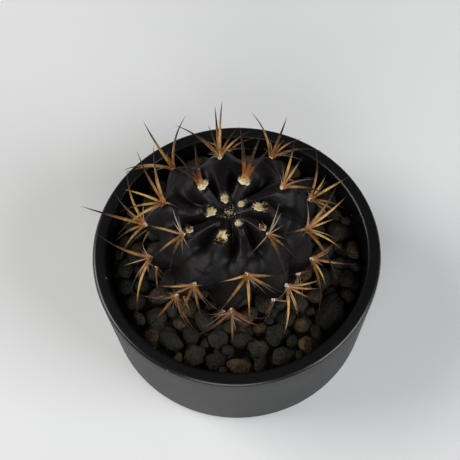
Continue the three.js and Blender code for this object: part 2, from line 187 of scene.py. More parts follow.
def finished_object(bm: bmesh.types.BMesh, name: str) -> bpy.types.Object:
    """Scale a bmesh to metres and link it to the scene as a smooth object; the bmesh is freed."""
    bmesh.ops.scale(bm, vec=(MM, MM, MM), verts=bm.verts)
    for face in bm.faces:
        face.smooth = True
    mesh = bpy.data.meshes.new(name)
    bm.to_mesh(mesh)
    bm.free()
    piece = bpy.data.objects.new(name, mesh)
    bpy.context.scene.collection.objects.link(piece)
    return piece


# ------------------------------------------------------------------ shader tools


class Desk:
    """Short calls for wiring one node tree."""

    def __init__(self, tree: bpy.types.NodeTree) -> None:
        """Take the tree to wire."""
        self.tree = tree

    def feed(self, socket: bpy.types.NodeSocket, value: Any) -> None:
        """Link a socket to an input, or set the input's own value."""
        if isinstance(value, bpy.types.NodeSocket):
            self.tree.links.new(value, socket)
        else:
            socket.default_value = value

    def add(
        self, kind: str, inputs: Optional[dict[Any, Any]] = None, **settings: Any
    ) -> bpy.types.Node:
        """Add a node.

        Args:
            kind: Node type without its ShaderNode prefix.
            inputs: Values or sockets by input name or number.
            settings: Properties of the node.

        Returns:
            The new node.
        """
        node = self.tree.nodes.new(f"ShaderNode{kind}")
        for name, value in settings.items():
            setattr(node, name, value)
        for key, value in (inputs or {}).items():
            self.feed(node.inputs[key], value)
        return node

    def math(self, operation: str, first: Any, second: Any = 0.0) -> Any:
        """Output of a maths node."""
        return self.add("Math", {0: first, 1: second}, operation=operation).outputs[0]

    def times(self, first: Any, second: Any) -> Any:
        """Product of two values."""
        return self.math("MULTIPLY", first, second)

    def mix(self, factor: Any, first: Any, second: Any) -> Any:
        """Output of a colour mix."""
        return self.add("Mix", {0: factor, 6: first, 7: second}, data_type="RGBA").outputs[2]

    def tint(self, colour: Any, tone: Colour, mask: Any, strength: float) -> Any:
        """Colour taken towards a tone where a mask shows, no further than a strength."""
        return self.mix(self.times(mask, strength), colour, tone)

    def ramp(self, value: Any, low: Any, high: Any, start: float = 0.0, end: float = 1.0) -> Any:
        """Output of a clamped range change."""
        return self.add("MapRange", {0: value, 1: low, 2: high, 3: start, 4: end}).outputs[0]

    def noise(self, vector: Any, scale: Any, detail: float = 3.0, rough: float = 0.55) -> Any:
        """Height output of a noise texture."""
        sockets = {"Vector": vector, "Scale": scale, "Detail": detail, "Roughness": rough}
        return self.add("TexNoise", sockets).outputs[0]

    def attribute(self, name: str) -> tuple[Any, ...]:
        """The four channels of a colour attribute."""
        source = self.add("Attribute", attribute_name=name)
        parts = self.add("SeparateColor", {0: source.outputs["Color"]})
        return (*parts.outputs, source.outputs["Alpha"])

    def mask(self, group: bpy.types.NodeTree, place: Any, **inputs: Any) -> Any:
        """Output of a shared effect at a place, with its own values."""
        node = self.add("Group", node_tree=group)
        for key, value in {"Vector": place, **inputs}.items():
            self.feed(node.inputs[key], value)
        return node.outputs[0]

    def bump(self, height: Any, strength: float, distance: float) -> Any:
        """Normal of a relief."""
        sockets = {"Height": height, "Strength": strength, "Distance": distance}
        return self.add("Bump", sockets).outputs[0]


class Effects:
    """Surface effects that several materials share, each a node group built once."""

    def __init__(self) -> None:
        """Build every group."""
        self.mottle = self._group("mottle", "Mask", self._mottle, Scale=100.0, Edge=0.15)
        self.specks = self._group("specks", "Mask", self._specks, Scale=200.0, Size=0.1, Share=0.3)
        self.grain = self._group("grain", "Height", self._grain, Scale=1000.0, Fine=0.5)
        self.scuffs = self._group(
            "scuffs", "Mask", self._scuffs, Scale=60.0, Width=0.012, Share=0.5
        )

    @staticmethod
    def _group(
        name: str, output: str, wire: Callable[..., Any], **inputs: float
    ) -> bpy.types.NodeTree:
        """Build one group.

        Args:
            name: Name of the group.
            output: Name of its number output.
            wire: Takes a desk and the input sockets, and returns the socket for the output.
            inputs: Its number inputs with their defaults; a Vector input comes before them.

        Returns:
            The node group.
        """
        tree = bpy.data.node_groups.new(name, "ShaderNodeTree")
        tree.interface.new_socket("Vector", in_out="INPUT", socket_type="NodeSocketVector")
        for key, value in inputs.items():
            socket = tree.interface.new_socket(key, in_out="INPUT", socket_type="NodeSocketFloat")
            socket.default_value = value
        tree.interface.new_socket(output, in_out="OUTPUT", socket_type="NodeSocketFloat")
        source = tree.nodes.new("NodeGroupInput")
        target = tree.nodes.new("NodeGroupOutput")
        desk = Desk(tree)
        sockets = [source.outputs[key] for key in ("Vector", *inputs)]
        desk.feed(target.inputs[output], wire(desk, *sockets))
        return tree

    @staticmethod
    def _mottle(desk: Desk, vector: Any, scale: Any, edge: Any) -> Any:
        """Cloudy patches with an edge that can be soft or hard."""
        cloud = desk.noise(vector, scale, 5.0, 0.6)
        return desk.ramp(cloud, desk.math("SUBTRACT", 0.5, edge), desk.math("ADD", 0.5, edge))

    @staticmethod
    def _specks(desk: Desk, vector: Any, scale: Any, size: Any, share: Any) -> Any:
        """Scattered dots of dust, one in some of the cells."""
        cells = desk.add("TexVoronoi", {"Vector": vector, "Scale": scale})
        chosen = desk.add("SeparateColor", {0: cells.outputs["Color"]})
        present = desk.math("LESS_THAN", chosen.outputs[0], share)
        reach = desk.times(size, chosen.outputs[1])
        return desk.times(present, desk.math("LESS_THAN", cells.outputs["Distance"], reach))

    @staticmethod
    def _grain(desk: Desk, vector: Any, scale: Any, fine: Any) -> Any:
        """Two sizes of fine relief in one height."""
        coarse = desk.noise(vector, scale, 2.0)
        small = desk.noise(vector, desk.times(scale, 3.7), 3.0)
        return desk.math("ADD", coarse, desk.times(small, fine))

    @staticmethod
    def _scuffs(desk: Desk, vector: Any, scale: Any, width: Any, share: Any) -> Any:
        """Thin broken lines, as of scratches and dried creases."""
        waves = desk.noise(vector, scale, 1.5, 0.4)
        away = desk.math("ABSOLUTE", desk.math("SUBTRACT", waves, 0.5))
        breaks = desk.noise(vector, desk.times(scale, 2.3), 1.0)
        kept = desk.math("LESS_THAN", breaks, share)
        return desk.times(desk.math("LESS_THAN", away, width), kept)


# ------------------------------------------------------------------ finishes


@dataclass(frozen=True)
class Finish:
    """What the finishes share: a name, and the steps that turn one into a material."""

    name: str = "plain"

    def wire(self, desk: Desk, place: Any, effects: Effects) -> dict[str, Any]:
        """Wire the finish.

        Args:
            desk: Desk of the material's tree.
            place: Object coordinates.
            effects: The shared node groups.

        Returns:
            Sockets and constants by the name of the shader input that they go into.
        """
        raise NotImplementedError

    def material(self, effects: Effects) -> bpy.types.Material:
        """Build the material."""
        material = bpy.data.materials.new(self.name)
        material.use_nodes = True
        desk = Desk(material.node_tree)
        shader = material.node_tree.nodes["Principled BSDF"]
        place = desk.add("TexCoord").outputs["Object"]
        for socket, value in self.wire(desk, place, effects).items():
            desk.feed(shader.inputs[socket], value)
        return material


@dataclass(frozen=True)
class PotFinish(Finish):
    """Matte black moulded plastic with faint dust, sleek on the rim and inside."""

    name: str = "pot_black"
    black: Colour = (0.0026, 0.0027, 0.0030, 1.0)
    dusty: Colour = (0.0080, 0.0078, 0.0072, 1.0)
    speck: Colour = (0.22, 0.20, 0.17, 1.0)
    roughness: Point = (0.46, 0.58)
    smooth: float = 0.27
    rim_level: Point = (0.0436, 0.0447)
    inner_radius: Point = (0.0490, 0.0480)

    def wire(self, desk: Desk, place: Any, effects: Effects) -> dict[str, Any]:
        """Wire the finish; height and radius tell the rim and the inner wall from the outside."""
        clouds = desk.mask(effects.mottle, place, Scale=45.0, Edge=0.3)
        colour = desk.tint(self.black, self.dusty, clouds, 0.45)
        dots = desk.mask(effects.specks, place, Scale=230.0, Size=0.11, Share=0.16)
        colour = desk.tint(colour, self.speck, dots, 0.75)
        scuffs = desk.mask(effects.scuffs, place, Scale=38.0, Width=0.0016, Share=0.40)
        colour = desk.tint(colour, self.speck, scuffs, 0.025)
        parts = desk.add("SeparateXYZ", {0: place})
        flat = desk.add("CombineXYZ", {0: parts.outputs[0], 1: parts.outputs[1]})
        radius = desk.add("VectorMath", {0: flat.outputs[0]}, operation="LENGTH").outputs["Value"]
        rim = desk.ramp(parts.outputs[2], *self.rim_level)
        sleek = desk.math("MAXIMUM", rim, desk.ramp(radius, *self.inner_radius))
        matte = desk.ramp(clouds, 0, 1, *self.roughness)
        gap = desk.times(desk.math("SUBTRACT", matte, self.smooth), sleek)
        relief = desk.mask(effects.grain, place, Scale=1500.0, Fine=0.6)
        height = desk.times(relief, desk.ramp(sleek, 0, 1, 1.0, 0.15))
        return {
            "Base Color": colour,
            "Roughness": desk.math("SUBTRACT", matte, gap),
            "Normal": desk.bump(height, 0.22, 0.0002),
        }


@dataclass(frozen=True)
class LavaFinish(Finish):
    """Porous volcanic stone, from charcoal to rusty ochre."""

    name: str = "lava_stone"
    charcoal: Colour = (0.0060, 0.0055, 0.0037, 1.0)
    ash: Colour = (0.042, 0.0384, 0.0240, 1.0)
    ochre: Colour = (0.125, 0.080, 0.030, 1.0)
    rust: Colour = (0.030, 0.0175, 0.0075, 1.0)
    dust: Colour = (0.10, 0.085, 0.06, 1.0)

    def wire(self, desk: Desk, place: Any, effects: Effects) -> dict[str, Any]:
        """Wire the finish; stone_tone holds the brightness and warmth of each stone."""
        bright, warm, *_ = desk.attribute("stone_tone")
        clouds = desk.mask(effects.mottle, place, Scale=320.0, Edge=0.22)
        grey = desk.mix(desk.times(clouds, bright), self.charcoal, self.ash)
        patches = desk.mask(effects.mottle, place, Scale=210.0, Edge=0.12)
        colour = desk.mix(warm, grey, desk.mix(patches, self.rust, self.ochre))
        pits = desk.add("TexVoronoi", {"Vector": place, "Scale": 1100.0}, feature="SMOOTH_F1")
        pit_shade_and_relief = desk.ramp(pits.outputs["Distance"], 0.12, 0.42)
        # Painted shade: the colour goes to charcoal towards the middle of each pit, where the bump
        # sinks the pores
        colour = desk.mix(desk.math("SUBTRACT", 1.0, pit_shade_and_relief), colour, self.charcoal)
        dots = desk.mask(effects.specks, place, Scale=700.0, Size=0.22, Share=0.12)
        relief = desk.mask(effects.grain, place, Scale=900.0, Fine=0.5)
        height = desk.math("ADD", relief, desk.times(pit_shade_and_relief, 0.9))
        return {
            "Base Color": desk.tint(colour, self.dust, dots, 0.5),
            "Roughness": desk.ramp(clouds, 0, 1, 0.72, 0.95),
            "Specular IOR Level": 0.28,
            "Normal": desk.bump(height, 0.75, 0.0003),
        }


@dataclass(frozen=True)
class SkinFinish(Finish):
    """Near-black, satin cactus skin that greys on its flanks and turns olive in its grooves."""

    name: str = "cactus_skin"
    dark: Colour = (0.0042, 0.0033, 0.0033, 1.0)
    plum: Colour = (0.0096, 0.0071, 0.0074, 1.0)
    bloom: Colour = (0.0120, 0.0100, 0.0102, 1.0)
    olive: Colour = (0.0050, 0.0048, 0.0028, 1.0)
    scar: Colour = (0.075, 0.064, 0.050, 1.0)

    def wire(self, desk: Desk, place: Any, effects: Effects) -> dict[str, Any]:
        """Wire the finish; skin_map holds groove, nearness to an areole and age."""
        groove, near, age, _ = desk.attribute("skin_map")
        clouds = desk.mask(effects.mottle, place, Scale=130.0, Edge=0.25)
        fine = desk.mask(effects.mottle, place, Scale=620.0, Edge=0.2)
        grown = desk.ramp(age, 0.2, 0.6)
        colour = desk.mix(clouds, self.dark, self.plum)
        colour = desk.tint(colour, self.bloom, desk.times(fine, grown), 0.32)
        colour = desk.tint(colour, self.olive, desk.ramp(groove, 0.55, 0.95), 0.8)
        colour = desk.tint(colour, self.bloom, near, 0.35)
        scuffs = desk.mask(effects.scuffs, place, Scale=95.0, Width=0.005, Share=0.44)
        colour = desk.tint(colour, self.scar, scuffs, 0.10)
        dots = desk.mask(effects.specks, place, Scale=420.0, Size=0.16, Share=0.14)
        relief = desk.mask(effects.grain, place, Scale=700.0, Fine=0.35)
        height = desk.math("ADD", relief, desk.times(scuffs, 0.25))
        satin = desk.ramp(fine, 0, 1, 0.36, 0.46)
        return {
            "Base Color": desk.tint(colour, self.scar, dots, 0.45),
            "Roughness": desk.math("ADD", satin, desk.times(grown, 0.10)),
            "Specular IOR Level": 0.09,
            "Coat Roughness": 0.36,
            "Coat Weight": desk.ramp(age, 0.08, 0.40, 0.30, 0.0),
            "Normal": desk.bump(height, 0.2, 0.0003),
        }


@dataclass(frozen=True)
class SpineFinish(Finish):
    """Horny spines: brown at the base, golden along the shaft, dark at the tip."""

    name: str = "spine_horn"
    bulb: Colour = (0.40, 0.150, 0.036, 1.0)
    base: Colour = (0.13, 0.044, 0.010, 1.0)
    golden: Colour = (0.62, 0.370, 0.125, 1.0)
    aged: Colour = (0.21, 0.105, 0.050, 1.0)
    amber: Colour = (0.42, 0.105, 0.002, 1.0)
    sheen: Colour = (1.0, 0.80, 0.56, 1.0)
    tip: Colour = (0.012, 0.0048, 0.003, 1.0)
    pale: Colour = (0.36, 0.33, 0.29, 1.0)
    tip_share: float = 0.36

    def wire(self, desk: Desk, place: Any, effects: Effects) -> dict[str, Any]:
        """Wire the finish; spine_map holds place along the spine, age, shade and paleness."""
        along, age, shade, pale = desk.attribute("spine_map")
        rows = desk.noise(place, 900.0, 3.0)
        wander = desk.times(desk.math("SUBTRACT", rows, 0.5), 0.35)
        run = desk.math("ADD", along, wander)
        grown = desk.mix(desk.ramp(age, 0.4, 1.0), self.golden, self.aged)
        shaft = desk.mix(desk.ramp(age, 0.02, 0.25), self.amber, grown)
        streaks = desk.mask(effects.mottle, place, Scale=520.0, Edge=0.12)
        dim = desk.math("ADD", desk.times(shade, 0.66), desk.times(streaks, 0.32))
        shaft = desk.mix(dim, shaft, self.base)
        foot = desk.mix(desk.ramp(along, 0.02, 0.09), self.bulb, self.base)
        colour = desk.mix(desk.ramp(run, 0.04, 0.28), foot, shaft)
        early = desk.ramp(age, 0.0, 0.35, 0.04, 0.56)
        early = desk.math("SUBTRACT", early, desk.times(shade, 0.38))
        ends = desk.ramp(run, early, desk.math("ADD", early, self.tip_share))
        colour = desk.mix(ends, colour, self.tip)
        colour = desk.mix(pale, colour, self.pale)
        dots = desk.mask(effects.specks, place, Scale=900.0, Size=0.3, Share=0.15)
        gloss = desk.ramp(rows, 0.3, 0.7, 0.20, 0.34)
        relief = desk.mask(effects.grain, place, Scale=1600.0, Fine=0.4)
        return {
            "Base Color": desk.tint(colour, self.pale, dots, 0.35),
            "Roughness": desk.math("ADD", gloss, desk.times(ends, 0.22)),
            "Specular IOR Level": 0.30,
            "Specular Tint": self.sheen,
            "Normal": desk.bump(relief, 0.3, 0.0002),
        }


@dataclass(frozen=True)
class WoolFinish(Finish):
    """Felted wool of an areole, cream when young and pale grey when old."""

    name: str = "areole_wool"
    cream: Colour = (0.90, 0.78, 0.47, 1.0)
    straw: Colour = (0.56, 0.40, 0.17, 1.0)
    grey: Colour = (0.82, 0.76, 0.66, 1.0)
    brown: Colour = (0.13, 0.065, 0.03, 1.0)

    def wire(self, desk: Desk, place: Any, effects: Effects) -> dict[str, Any]:
        """Wire the finish; wool_map holds age, staining and a shade for each strand."""
        age, stain, shade, _ = desk.attribute("wool_map")
        clouds = desk.mask(effects.mottle, place, Scale=900.0, Edge=0.2)
        colour = desk.mix(age, desk.tint(self.cream, self.straw, clouds, 0.4), self.grey)
        colour = desk.tint(colour, self.straw, shade, 0.4)
        relief = desk.mask(effects.grain, place, Scale=3000.0, Fine=0.7)
        return {
            "Base Color": desk.mix(stain, colour, self.brown),
            "Roughness": desk.ramp(clouds, 0, 1, 0.85, 1.0),
            "Normal": desk.bump(relief, 0.8, 0.0002),
            "Sheen Weight": 0.25,
        }


@dataclass(frozen=True)
class CloudedFinish(Finish):
    """Surface of two clouded tones, with loose bits and a fine relief where they are given."""

    ground: Colour = (0.5, 0.5, 0.5, 1.0)
    patch: Colour = (0.4, 0.4, 0.4, 1.0)
    scale: float = 100.0
    edge: float = 0.2
    roughness: Point = (0.5, 0.7)
    grain: Optional[Point] = None
    relief: Point = (0.3, 0.0002)
    bits: Optional[Colour] = None

    def wire(self, desk: Desk, place: Any, effects: Effects) -> dict[str, Any]:
        """Wire the finish; grain is its scale and fineness, relief its strength and depth."""
        clouds = desk.mask(effects.mottle, place, Scale=self.scale, Edge=self.edge)
        colour = desk.mix(clouds, self.ground, self.patch)
        if self.bits:
            dots = desk.mask(effects.specks, place, Scale=500.0, Size=0.4, Share=0.25)
            colour = desk.mix(dots, colour, self.bits)
        looks = {"Base Color": colour, "Roughness": desk.ramp(clouds, 0, 1, *self.roughness)}
        if self.grain:
            height = desk.mask(effects.grain, place, Scale=self.grain[0], Fine=self.grain[1])
            looks["Normal"] = desk.bump(height, *self.relief)
        return looks


SOIL_FINISH = CloudedFinish(
    "potting_mix", (0.020, 0.012, 0.007, 1.0), (0.075, 0.045, 0.025, 1.0), 400.0, 0.2,
    (0.85, 1.0), (700.0, 0.6), (0.9, 0.0006), (0.16, 0.10, 0.055, 1.0),
)
NET_FINISH = CloudedFinish(
    "net_plastic", (0.022, 0.022, 0.021, 1.0), (0.05, 0.035, 0.022, 1.0), 150.0, 0.2,
    (0.55, 0.8), (1200.0, 0.5),
)
TABLE_FINISH = CloudedFinish(
    "pale_table", (0.80, 0.80, 0.79, 1.0), (0.74, 0.74, 0.735, 1.0), 9.0, 0.4, (0.6, 0.7)
)


class Finishes:
    """Every material, built once."""

    def __init__(self) -> None:
        """Build the shared effects and then the materials."""
        effects = Effects()
        finishes = {
            Slot.POT: PotFinish(), Slot.GRAVEL: LavaFinish(), Slot.SKIN: SkinFinish(),
            Slot.SPINE: SpineFinish(), Slot.WOOL: WoolFinish(), Slot.SOIL: SOIL_FINISH,
            Slot.NET: NET_FINISH,
        }
        self.by_slot = {slot: finish.material(effects) for slot, finish in finishes.items()}
        self.table = TABLE_FINISH.material(effects)


@dataclass(frozen=True)
class Piece:
    """A finished object with the slot of its finish and the CAD nodes that it stands for."""

    thing: bpy.types.Object
    slot: Slot
    nodes: tuple[str, ...] = ()


class Assembly:
    """What the modelled sub-assemblies share: one way to dress their pieces."""

    def dress(self, pieces: list[Piece], finishes: Finishes) -> None:
        """Give each piece its finish, fix it to the frame and report it.

        Args:
            pieces: What build returned.
            finishes: Every material.
        """
        for one in pieces:
            piece, slot = one.thing, one.slot
            piece.data.materials.append(finishes.by_slot[slot])
            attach(piece, BODY_NAME)
            if one.nodes:
                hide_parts(*one.nodes)
            LOG.info("%s: %d faces", piece.name, len(piece.data.polygons))


# ------------------------------------------------------------------ pot and its filling


@dataclass
class Pot(Assembly):
    """Straight-sided pot with a thick rounded rim, a standing ring and drain holes."""

    height: float = 45.5
    rim_radius: float = 52.5
    base_radius: float = 50.2
    wall: float = 5.2
    floor: float = 5.0
    edge_round: float = 1.4
    foot_round: float = 2.4
    corner_round: float = 3.0
    standing_ring: float = 5.5
    pit_shade_and_relief: float = 0.9
    hole_radius: float = 2.7
    hole_ring: float = 15.0
    holes: int = 5
    steps: int = 192
    crease: float = 30.0

    def inner_radius(self, height: float) -> float:
        """Radius of the inner wall at a height."""
        share = (height - self.floor) / (self.height - self.floor)
        return lerp(self.base_radius - self.wall, self.rim_radius - self.wall, share)

    def outline(self) -> list[Point]:
        """Profile from the middle of the underside round to the middle of the floor."""
        edge, foot, corner = self.edge_round, self.foot_round, self.corner_round
        shoulder, bend = self.height - edge, self.floor + corner
        ring = self.base_radius - foot - self.standing_ring
        inner_rim, inner = self.rim_radius - self.wall, self.inner_radius(bend)
        points = [(0.0, self.pit_shade_and_relief), (ring - 1.2, self.pit_shade_and_relief)]
        points += [(ring - 0.5, self.pit_shade_and_relief * 0.75), (ring, self.pit_shade_and_relief * 0.2), (ring + 0.7, 0.0)]
        points += arc((self.base_radius - foot, foot), foot, -90, 0, 8)
        sixths = [step / 6 for step in range(1, 6)]
        points += line((self.base_radius, foot), (self.rim_radius, shoulder), sixths)
        points += arc((self.rim_radius - edge, shoulder), edge, 0, 90, 8)
        points += arc((inner_rim + edge, shoulder), edge, 90, 180, 8)
        points += line(
            (self.inner_radius(shoulder), shoulder), (inner, bend), [0.2, 0.4, 0.6, 0.8]
        )
        points += arc((inner - corner, bend), corner, 0, -90, 6)
        return points + [(self.hole_ring * 2, self.floor), (0.0, self.floor)]

    def build(self) -> list[Piece]:
        """Spin the shell and cut its drain holes.

        Returns:
            The pot as one closed mesh.
        """
        shell = finished_object(spin_profile(self.outline(), self.steps), "pot_shell")
        drills = bmesh.new()
        for hole in range(self.holes):
            place = polar_point(self.hole_ring, 360 * hole / self.holes, self.floor / 2)
            radii = (self.hole_radius, self.hole_radius)
            add_cone(drills, 32, radii, self.floor * 2, Matrix.Translation(place), fan=False)
        cutter = finished_object(drills, "drain_cutter")
        cut = shell.modifiers.new("drain_holes", "BOOLEAN")
        cut.operation = "DIFFERENCE"
        cut.solver = "EXACT"
        cut.object = cutter
        graph = bpy.context.evaluated_depsgraph_get()
        mesh = bpy.data.meshes.new_from_object(shell.evaluated_get(graph))
        shell.modifiers.clear()
        shell.data = mesh
        mesh.name = "pot_shell"
        bpy.data.objects.remove(cutter)
        mesh.set_sharp_from_angle(angle=math.radians(self.crease))
        return [Piece(shell, Slot.POT, ("pot",))]


@dataclass
class Filling:
    """Drain net and potting mix, whose CAD shapes are right and get better materials."""

    nodes: dict[str, Slot] = field(
        default_factory=lambda: {"drain_net": Slot.NET, "soil": Slot.SOIL}
    )

    def build(self) -> dict[str, bpy.types.Object]:
        """Take the CAD nodes as they are."""
        return {name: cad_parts[name] for name in self.nodes}

    def dress(self, pieces: dict[str, bpy.types.Object], finishes: Finishes) -> None:
        """Put the two finishes into the nodes' material slots."""
        for name, piece in pieces.items():
            piece.material_slots[0].material = finishes.by_slot[self.nodes[name]]
            LOG.info("%s: the CAD shape with its own material", name)


# ------------------------------------------------------------------ plant layout


@dataclass(frozen=True)
class Areole:
    """One areole: its place on the plant and its spines as bearing, length and lift."""

    polar: float
    azimuth: float
    spines: tuple[tuple[float, ...], ...] = ()
    growth: Growth = Growth.GROWN
    wool: Point = (2.0, 1.6)
    dusk: float = 0.0
    crown_tuft: bool = False


def areole(polar: float, azimuth: float, *spines: tuple[float, ...], **looks: Any) -> Areole:
    """Short form of an areole, with its growth read from its polar angle unless it is given."""
    if "growth" not in looks:
        looks["growth"] = (
            Growth.YOUNG if polar < 35 else Growth.GROWN if polar < 88 else Growth.AGED
        )
    return Areole(polar, azimuth, spines, **looks)


# Each rib is its areoles from the crown down. A bearing of 0 points down the rib and counts
# anticlockwise from outside; where a spine's lift is left out, it is the plant's usual one.
RIBS: tuple[tuple[Areole, ...], ...] = (
    (
        areole(9, 22, growth=Growth.BARE, wool=(2.5, 2.2)),
        areole(42, 23, (59, 18), (36, 13), (-6, 11, 24), (-52, 16)),
        areole(70, 13, (100, 18), (56, 12), (29, 18, 46), (-24, 13), (-76, 17)),
        areole(112, 8, (80, 9), (-80, 9)),
    ),
    (
        areole(23, 60, (37, 18), (6, 16, 40), (-16, 14), wool=(2.7, 4.4)),
        areole(
            74, 58, (106, 17, 41), (-172, 18, 56), (4, 12, 38), (-76, 18), (-46, 13, 54), dusk=0.15,
        ),
        areole(106, 52, (75, 12), (24, 8, 40), (-28, 8, 40), (-78, 12)),
    ),
    (
        areole(9, 110, growth=Growth.BARE, wool=(4.1, 2.3)),
        areole(
            46, 97, (57, 19), (14, 12, 42), (-5, 19, 40), (-16, 20, 46), (-50, 13), (-84, 15),
            dusk=0.3,
        ),
        areole(90, 90, (80, 13), (42, 9), (0, 8, 40), (-40, 9), (-80, 13)),
    ),
    (
        areole(26, 136, (30, 12, 50), (-6, 14), (-44, 14), wool=(2.7, 4.4)),
        areole(72, 132, (84, 17), (52, 18), (-30, 21, 65), (-102, 19, 38), (178, 13), dusk=0.3),
        areole(112, 124, (76, 10), (30, 8, 40), (-30, 8, 40), (-76, 10)),
    ),
    (
        areole(13, 193, growth=Growth.BARE, wool=(4.3, 2.8)),
        areole(
            49, 169, (150, 15, 20), (57, 20, 24), (28, 15), (-10, 15, 40), (-67, 20, 38),
            (-90, 20, 35),
        ),
        areole(72, 181, (66, 15, 27), (17, 12), (-38, 23, 62), (-68, 17), (-108, 20, 28)),
        areole(112, 168, (80, 9), (-80, 9)),
    ),
    (
        areole(38, 210, (53, 17), (18, 15), (-48, 13), (-112, 9), crown_tuft=True),
        areole(78, 204, (124, 17, 24), (56, 20, 26), (30, 14), (-64, 15, 30), (-86, 20, 44)),
        areole(114, 200, (74, 10), (10, 8, 42), (-74, 10)),
    ),
    (
        areole(24, 257, growth=Growth.BUDDING, wool=(4.8, 3.5)),
        areole(66, 243, (86, 14), (51, 16), (0, 13), (-54, 15), (-80, 14)),
        areole(92, 232, (100, 17, 28), (80, 18, 20), (-21, 18, 45), (-98, 16)),
        areole(120, 228, (86, 8), (-74, 8)),
    ),
    (
        areole(14, 294, growth=Growth.BARE, wool=(2.9, 2.4)),
        areole(53, 282, (82, 14), (54, 16), (-14, 16), (-57, 19, 29), (-96, 12)),
        areole(90, 269, (116, 17), (128, 18, 22), (0, 16), (-85, 17), dusk=0.25),
        areole(118, 264, (88, 9), (-88, 9)),
    ),
    (
        areole(
            34, 320, (113, 11, 66), (-15, 16), (-40, 19, 27),
            growth=Growth.GROWN, dusk=0.8, crown_tuft=True,
        ),
        areole(81, 307, (95, 14), (67, 13), (36, 12), (-14, 12), (-50, 17)),
        areole(114, 300, (84, 9), (-84, 9)),
    ),
    (
        areole(21, 354, growth=Growth.BUDDING, wool=(5.8, 2.8)),
        areole(61, 346, (85, 18), (66, 19, 34), (43, 12), (-20, 14), (-48, 20, 16), (-144, 18, 16)),
        areole(85, 333, (120, 14), (40, 18, 46), (-28, 12), (-67, 19, 26)),
        areole(116, 328, (80, 9), (-80, 9)),
    ),
)


@dataclass(frozen=True)
class Seat:
    """Where an areole sits, with its outward, down-rib and sideways directions."""

    point: Vector
    outward: Vector
    down: Vector
    side: Vector

    def moved(self, down: float, side: float, outward: float) -> "Seat":
        """The same seat moved along its own directions."""
        point = self.point + self.down * down + self.side * side + self.outward * outward
        return Seat(point, self.outward, self.down, self.side)

    def turn(self) -> Matrix:
        """Matrix that takes X to down-rib, Y to sideways and Z to outward."""
        basis = Matrix((self.down, self.side, self.outward)).transposed().to_4x4()
        return Matrix.Translation(self.point) @ basis


